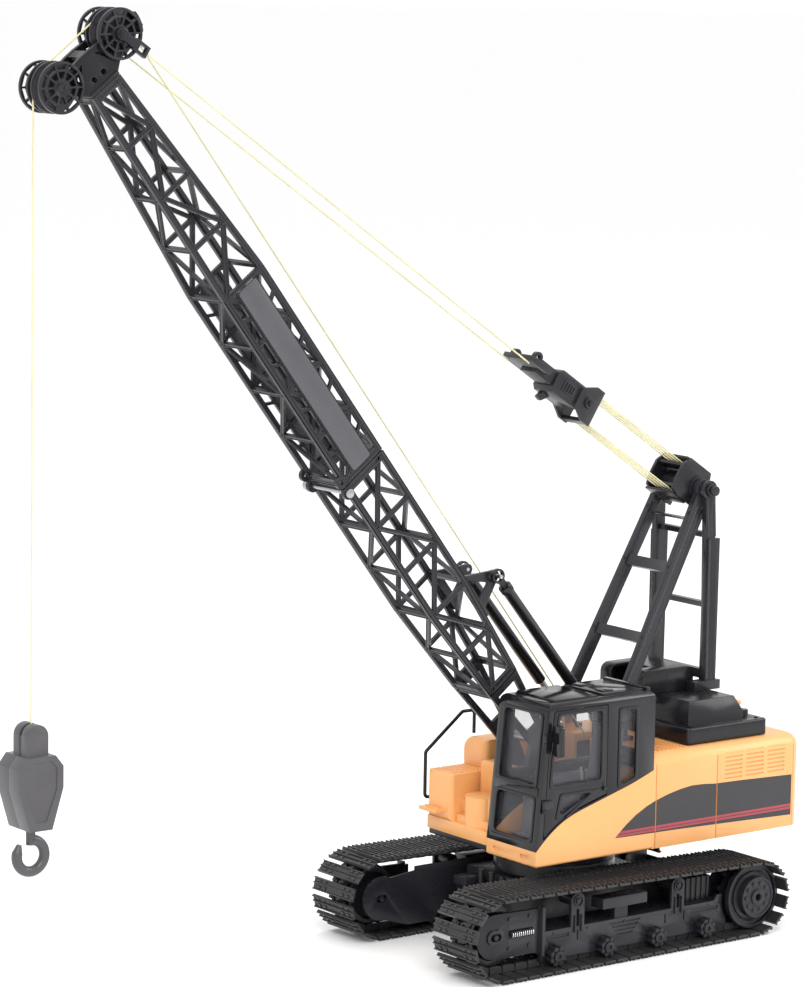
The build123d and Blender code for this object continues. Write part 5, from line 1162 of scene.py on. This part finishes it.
class CRANE_OT_ropes(Operator):
    """Twisted ropes: hoist rope, hoist fall, luffing falls and pendants"""

    bl_idname = "crane.ropes"
    bl_label = "Ropes"

    def execute(self, context):
        sizes = context.scene.crane_sizes
        self.hoist_fall(sizes)
        self.hoist_back(sizes)
        across = ROPE_LINE.cross(Vector((0, 1, 0))) * -1
        self.luffing_falls(sizes, across)
        self.pendants(sizes, across)
        return {"FINISHED"}

    def hoist_fall(self, sizes):
        """The rope from the front sheave down to the hook block."""
        front = FRONT_AXLE
        fall_x = front.x + ROPE_RADIUS
        block_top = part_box("hook_block")[1].z
        around = [math.radians(10 * (3 - k) / 3) for k in range(3)]
        path = [front + Vector((ROPE_RADIUS * math.cos(a), 0, ROPE_RADIUS * math.sin(a))) for a in around]
        path += [Vector((fall_x, front.y, front.z - 0.001)), Vector((fall_x, front.y, block_top - 0.0004))]
        fall = bpy.data.objects.new("hoist_fall_rope", rope("hoist_fall_rope", [path], sizes))
        bpy.context.scene.collection.objects.link(fall)
        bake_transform(fall)
        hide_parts("hoist_rope_fall")

    def hoist_back(self, sizes):
        """The rope from the winch along the boom's back and over both head sheaves."""
        start = on_boom(-0.043, 0, 0.028 + ROPE_RADIUS + 0.0016)
        path = [start.lerp(BOOM_HEAD_AXLE + HEAD_ACROSS * ROPE_RADIUS, k / 40) for k in range(40)]
        for axle, ahead, sideways, turn, steps in ((BOOM_HEAD_AXLE, HEAD_ACROSS, BOOM_ALONG, 90, 8),
                                                   (FRONT_AXLE, BOOM_ALONG, -HEAD_ACROSS, 38, 4)):
            for along, up in arc(0, 0, ROPE_RADIUS, 0, turn, steps + 1):
                path.append(axle + ahead * along + sideways * up)
        finished("hoist_back_rope", rope("hoist_back_rope", [path], sizes), "rope_cream", "boom",
                 ["hoist_rope_back"])

    def luffing_falls(self, sizes, across):
        """Eight falls between the gantry's head and the bridle, which draw together towards the bridle."""
        falls = []
        for y in (-0.0075, -0.0025, 0.0025, 0.0075):
            for v in (-0.0109, 0.0109):
                falls.append([GANTRY_AXLE + ROPE_LINE * (0.004 + 0.1125 * share)
                              + Vector((0, y * (1 - 0.2 * share), 0)) + across * v
                              for share in [i / 8 for i in range(9)]])
        luff = bpy.data.objects.new("luffing_falls", rope("luffing_falls", falls, sizes, 0.0011))
        bpy.context.scene.collection.objects.link(luff)
        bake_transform(luff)
        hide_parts("luffing_rope")

    def pendants(self, sizes, across):
        """Two long ropes from the bridle to the boom's head."""
        lines = []
        length = (BOOM_HEAD_AXLE - GANTRY_AXLE).length
        for s in (-1, 1):
            a = GANTRY_AXLE + ROPE_LINE * 0.1888 + Vector((0, s * 0.012, 0)) + across * 0.0036
            b = GANTRY_AXLE + ROPE_LINE * (length - 0.0228) + Vector((0, s * 0.0145, 0)) + across * 0.0002
            lines.append([a.lerp(b, i / 30) for i in range(31)])
        finished("pendant_ropes", rope("pendant_ropes", lines, sizes), "rope_cream", "suspension",
                 ["pendants"])


class CRANE_OT_hook(Operator):
    """Hook block and the swivelling hook"""

    bl_idname = "crane.hook"
    bl_label = "Hook"

    def execute(self, context):
        for node, width in (("hook_block", 0.0010), ("hook", 0.0005)):
            moulded(node, width, "hook_grey", node, segments=3)
        return {"FINISHED"}


class CRANE_OT_hidden_parts(Operator):
    """Finishes for the working parts that show as they are: drums, battery, board and motor"""

    bl_idname = "crane.hidden_parts"
    bl_label = "Working parts"

    def execute(self, context):
        slots = {row["node"]: row["material_slot"] for row in frame["record"]["subparts"]}
        for node, piece in frame["nodes"].items():
            if piece.hide_render:
                continue
            piece.data.materials.clear()
            piece.data.materials.append(FINISH[slots[node]])
        return {"FINISHED"}


# ---- studio -------------------------------------------------------------

class CRANE_OT_stage(Operator):
    """Pale floor, soft lights and the camera"""

    bl_idname = "crane.stage"
    bl_label = "Stage"

    def execute(self, context):
        scene = context.scene
        stage = scene.crane_stage
        floor_mesh = bpy.data.meshes.new("studio_floor")
        bm = bmesh.new()
        bmesh.ops.create_grid(bm, x_segments=2, y_segments=2, size=60.0,
                              matrix=Matrix.Translation((0, 0, -0.0002)))
        bm.to_mesh(floor_mesh)
        bm.free()
        floor = bpy.data.objects.new("studio_floor", floor_mesh)
        scene.collection.objects.link(floor)
        white = plastic("floor_white", scene.crane_finishes.floor_white, 0.75, 200, 0.0, 0.01, specular=0.15)
        floor_mesh.materials.append(white)
        for name, place, aim, size, power in (
                ("key_softbox", (1.3, 1.9, 2.1), (0.1, 0, 0.2), 1.6, stage.key_strength),
                ("rear_softbox", (-1.9, 1.2, 1.6), (0, 0, 0.15), 1.3, stage.rear_strength),
                ("top_softbox", (0.0, -0.6, 2.4), (0.1, 0, 0.2), 1.8, stage.top_strength)):
            lamp = bpy.data.lights.new(name, "AREA")
            lamp.shape = "SQUARE"
            lamp.size = size
            lamp.energy = power
            holder = bpy.data.objects.new(name, lamp)
            scene.collection.objects.link(holder)
            holder.location = place
            holder.rotation_euler = (Vector(aim) - Vector(place)).to_track_quat("-Z", "Y").to_euler()
        world = bpy.data.worlds.new("white_studio")
        world.use_nodes = True
        sky = world.node_tree.nodes["Background"].inputs
        sky["Color"].default_value = (1, 1, 1, 1)
        sky["Strength"].default_value = stage.sky_strength
        scene.world = world
        self.camera(scene, stage)
        scene.view_settings.view_transform = "Standard"
        return {"FINISHED"}

    def camera(self, scene, stage):
        """Stand the camera where the stage's settings say."""
        view = bpy.data.cameras.new("crane_camera")
        view.sensor_fit = "HORIZONTAL"
        view.sensor_width = 36.0
        view.lens = stage.lens
        view.clip_end = 60.0
        holder = bpy.data.objects.new("crane_camera", view)
        scene.collection.objects.link(holder)
        level = math.cos(stage.tilt)
        ahead = Vector((level * math.cos(stage.heading), level * math.sin(stage.heading),
                        -math.sin(stage.tilt)))
        right = ahead.cross(Vector((0, 0, 1))).normalized()
        up = right.cross(ahead)
        c, s = math.cos(stage.roll), math.sin(stage.roll)
        right, up = right * c + up * s, up * c - right * s
        turn = Matrix((right, up, -ahead)).transposed()
        holder.matrix_world = Matrix.Translation(stage.eye) @ turn.to_4x4()
        scene.camera = holder


class CRANE_PT_panel(Panel):
    """Lists the crane's pieces, sizes and finishes."""

    bl_label = "Toy crawler crane"
    bl_idname = "CRANE_PT_panel"
    bl_space_type = "VIEW_3D"
    bl_region_type = "UI"
    bl_category = "Crane"

    def draw(self, context):
        layout = self.layout
        for operator in STEPS:
            layout.operator(operator.bl_idname)
        for group in (context.scene.crane_sizes, context.scene.crane_finishes, context.scene.crane_stage):
            column = layout.column()
            for name in group.__annotations__:
                column.prop(group, name)


STEPS = (CRANE_OT_stage, CRANE_OT_tracks, CRANE_OT_running_gear, CRANE_OT_casing, CRANE_OT_cab,
         CRANE_OT_gantry, CRANE_OT_boom, CRANE_OT_ropes, CRANE_OT_hook, CRANE_OT_hidden_parts)
CLASSES = (CraneFinishes, CraneSizes, CraneStage) + STEPS + (CRANE_PT_panel,)


def register():
    for cls in CLASSES:
        bpy.utils.register_class(cls)
    bpy.types.Scene.crane_finishes = PointerProperty(type=CraneFinishes)
    bpy.types.Scene.crane_sizes = PointerProperty(type=CraneSizes)
    bpy.types.Scene.crane_stage = PointerProperty(type=CraneStage)


def unregister():
    for name in ("crane_finishes", "crane_sizes", "crane_stage"):
        delattr(bpy.types.Scene, name)
    for cls in reversed(CLASSES):
        bpy.utils.unregister_class(cls)


def main():
    register()
    mix_finishes(bpy.context.scene.crane_finishes)
    for step in STEPS:
        getattr(bpy.ops.crane, step.bl_idname.split(".")[1])()


if __name__ == "__main__":
    main()
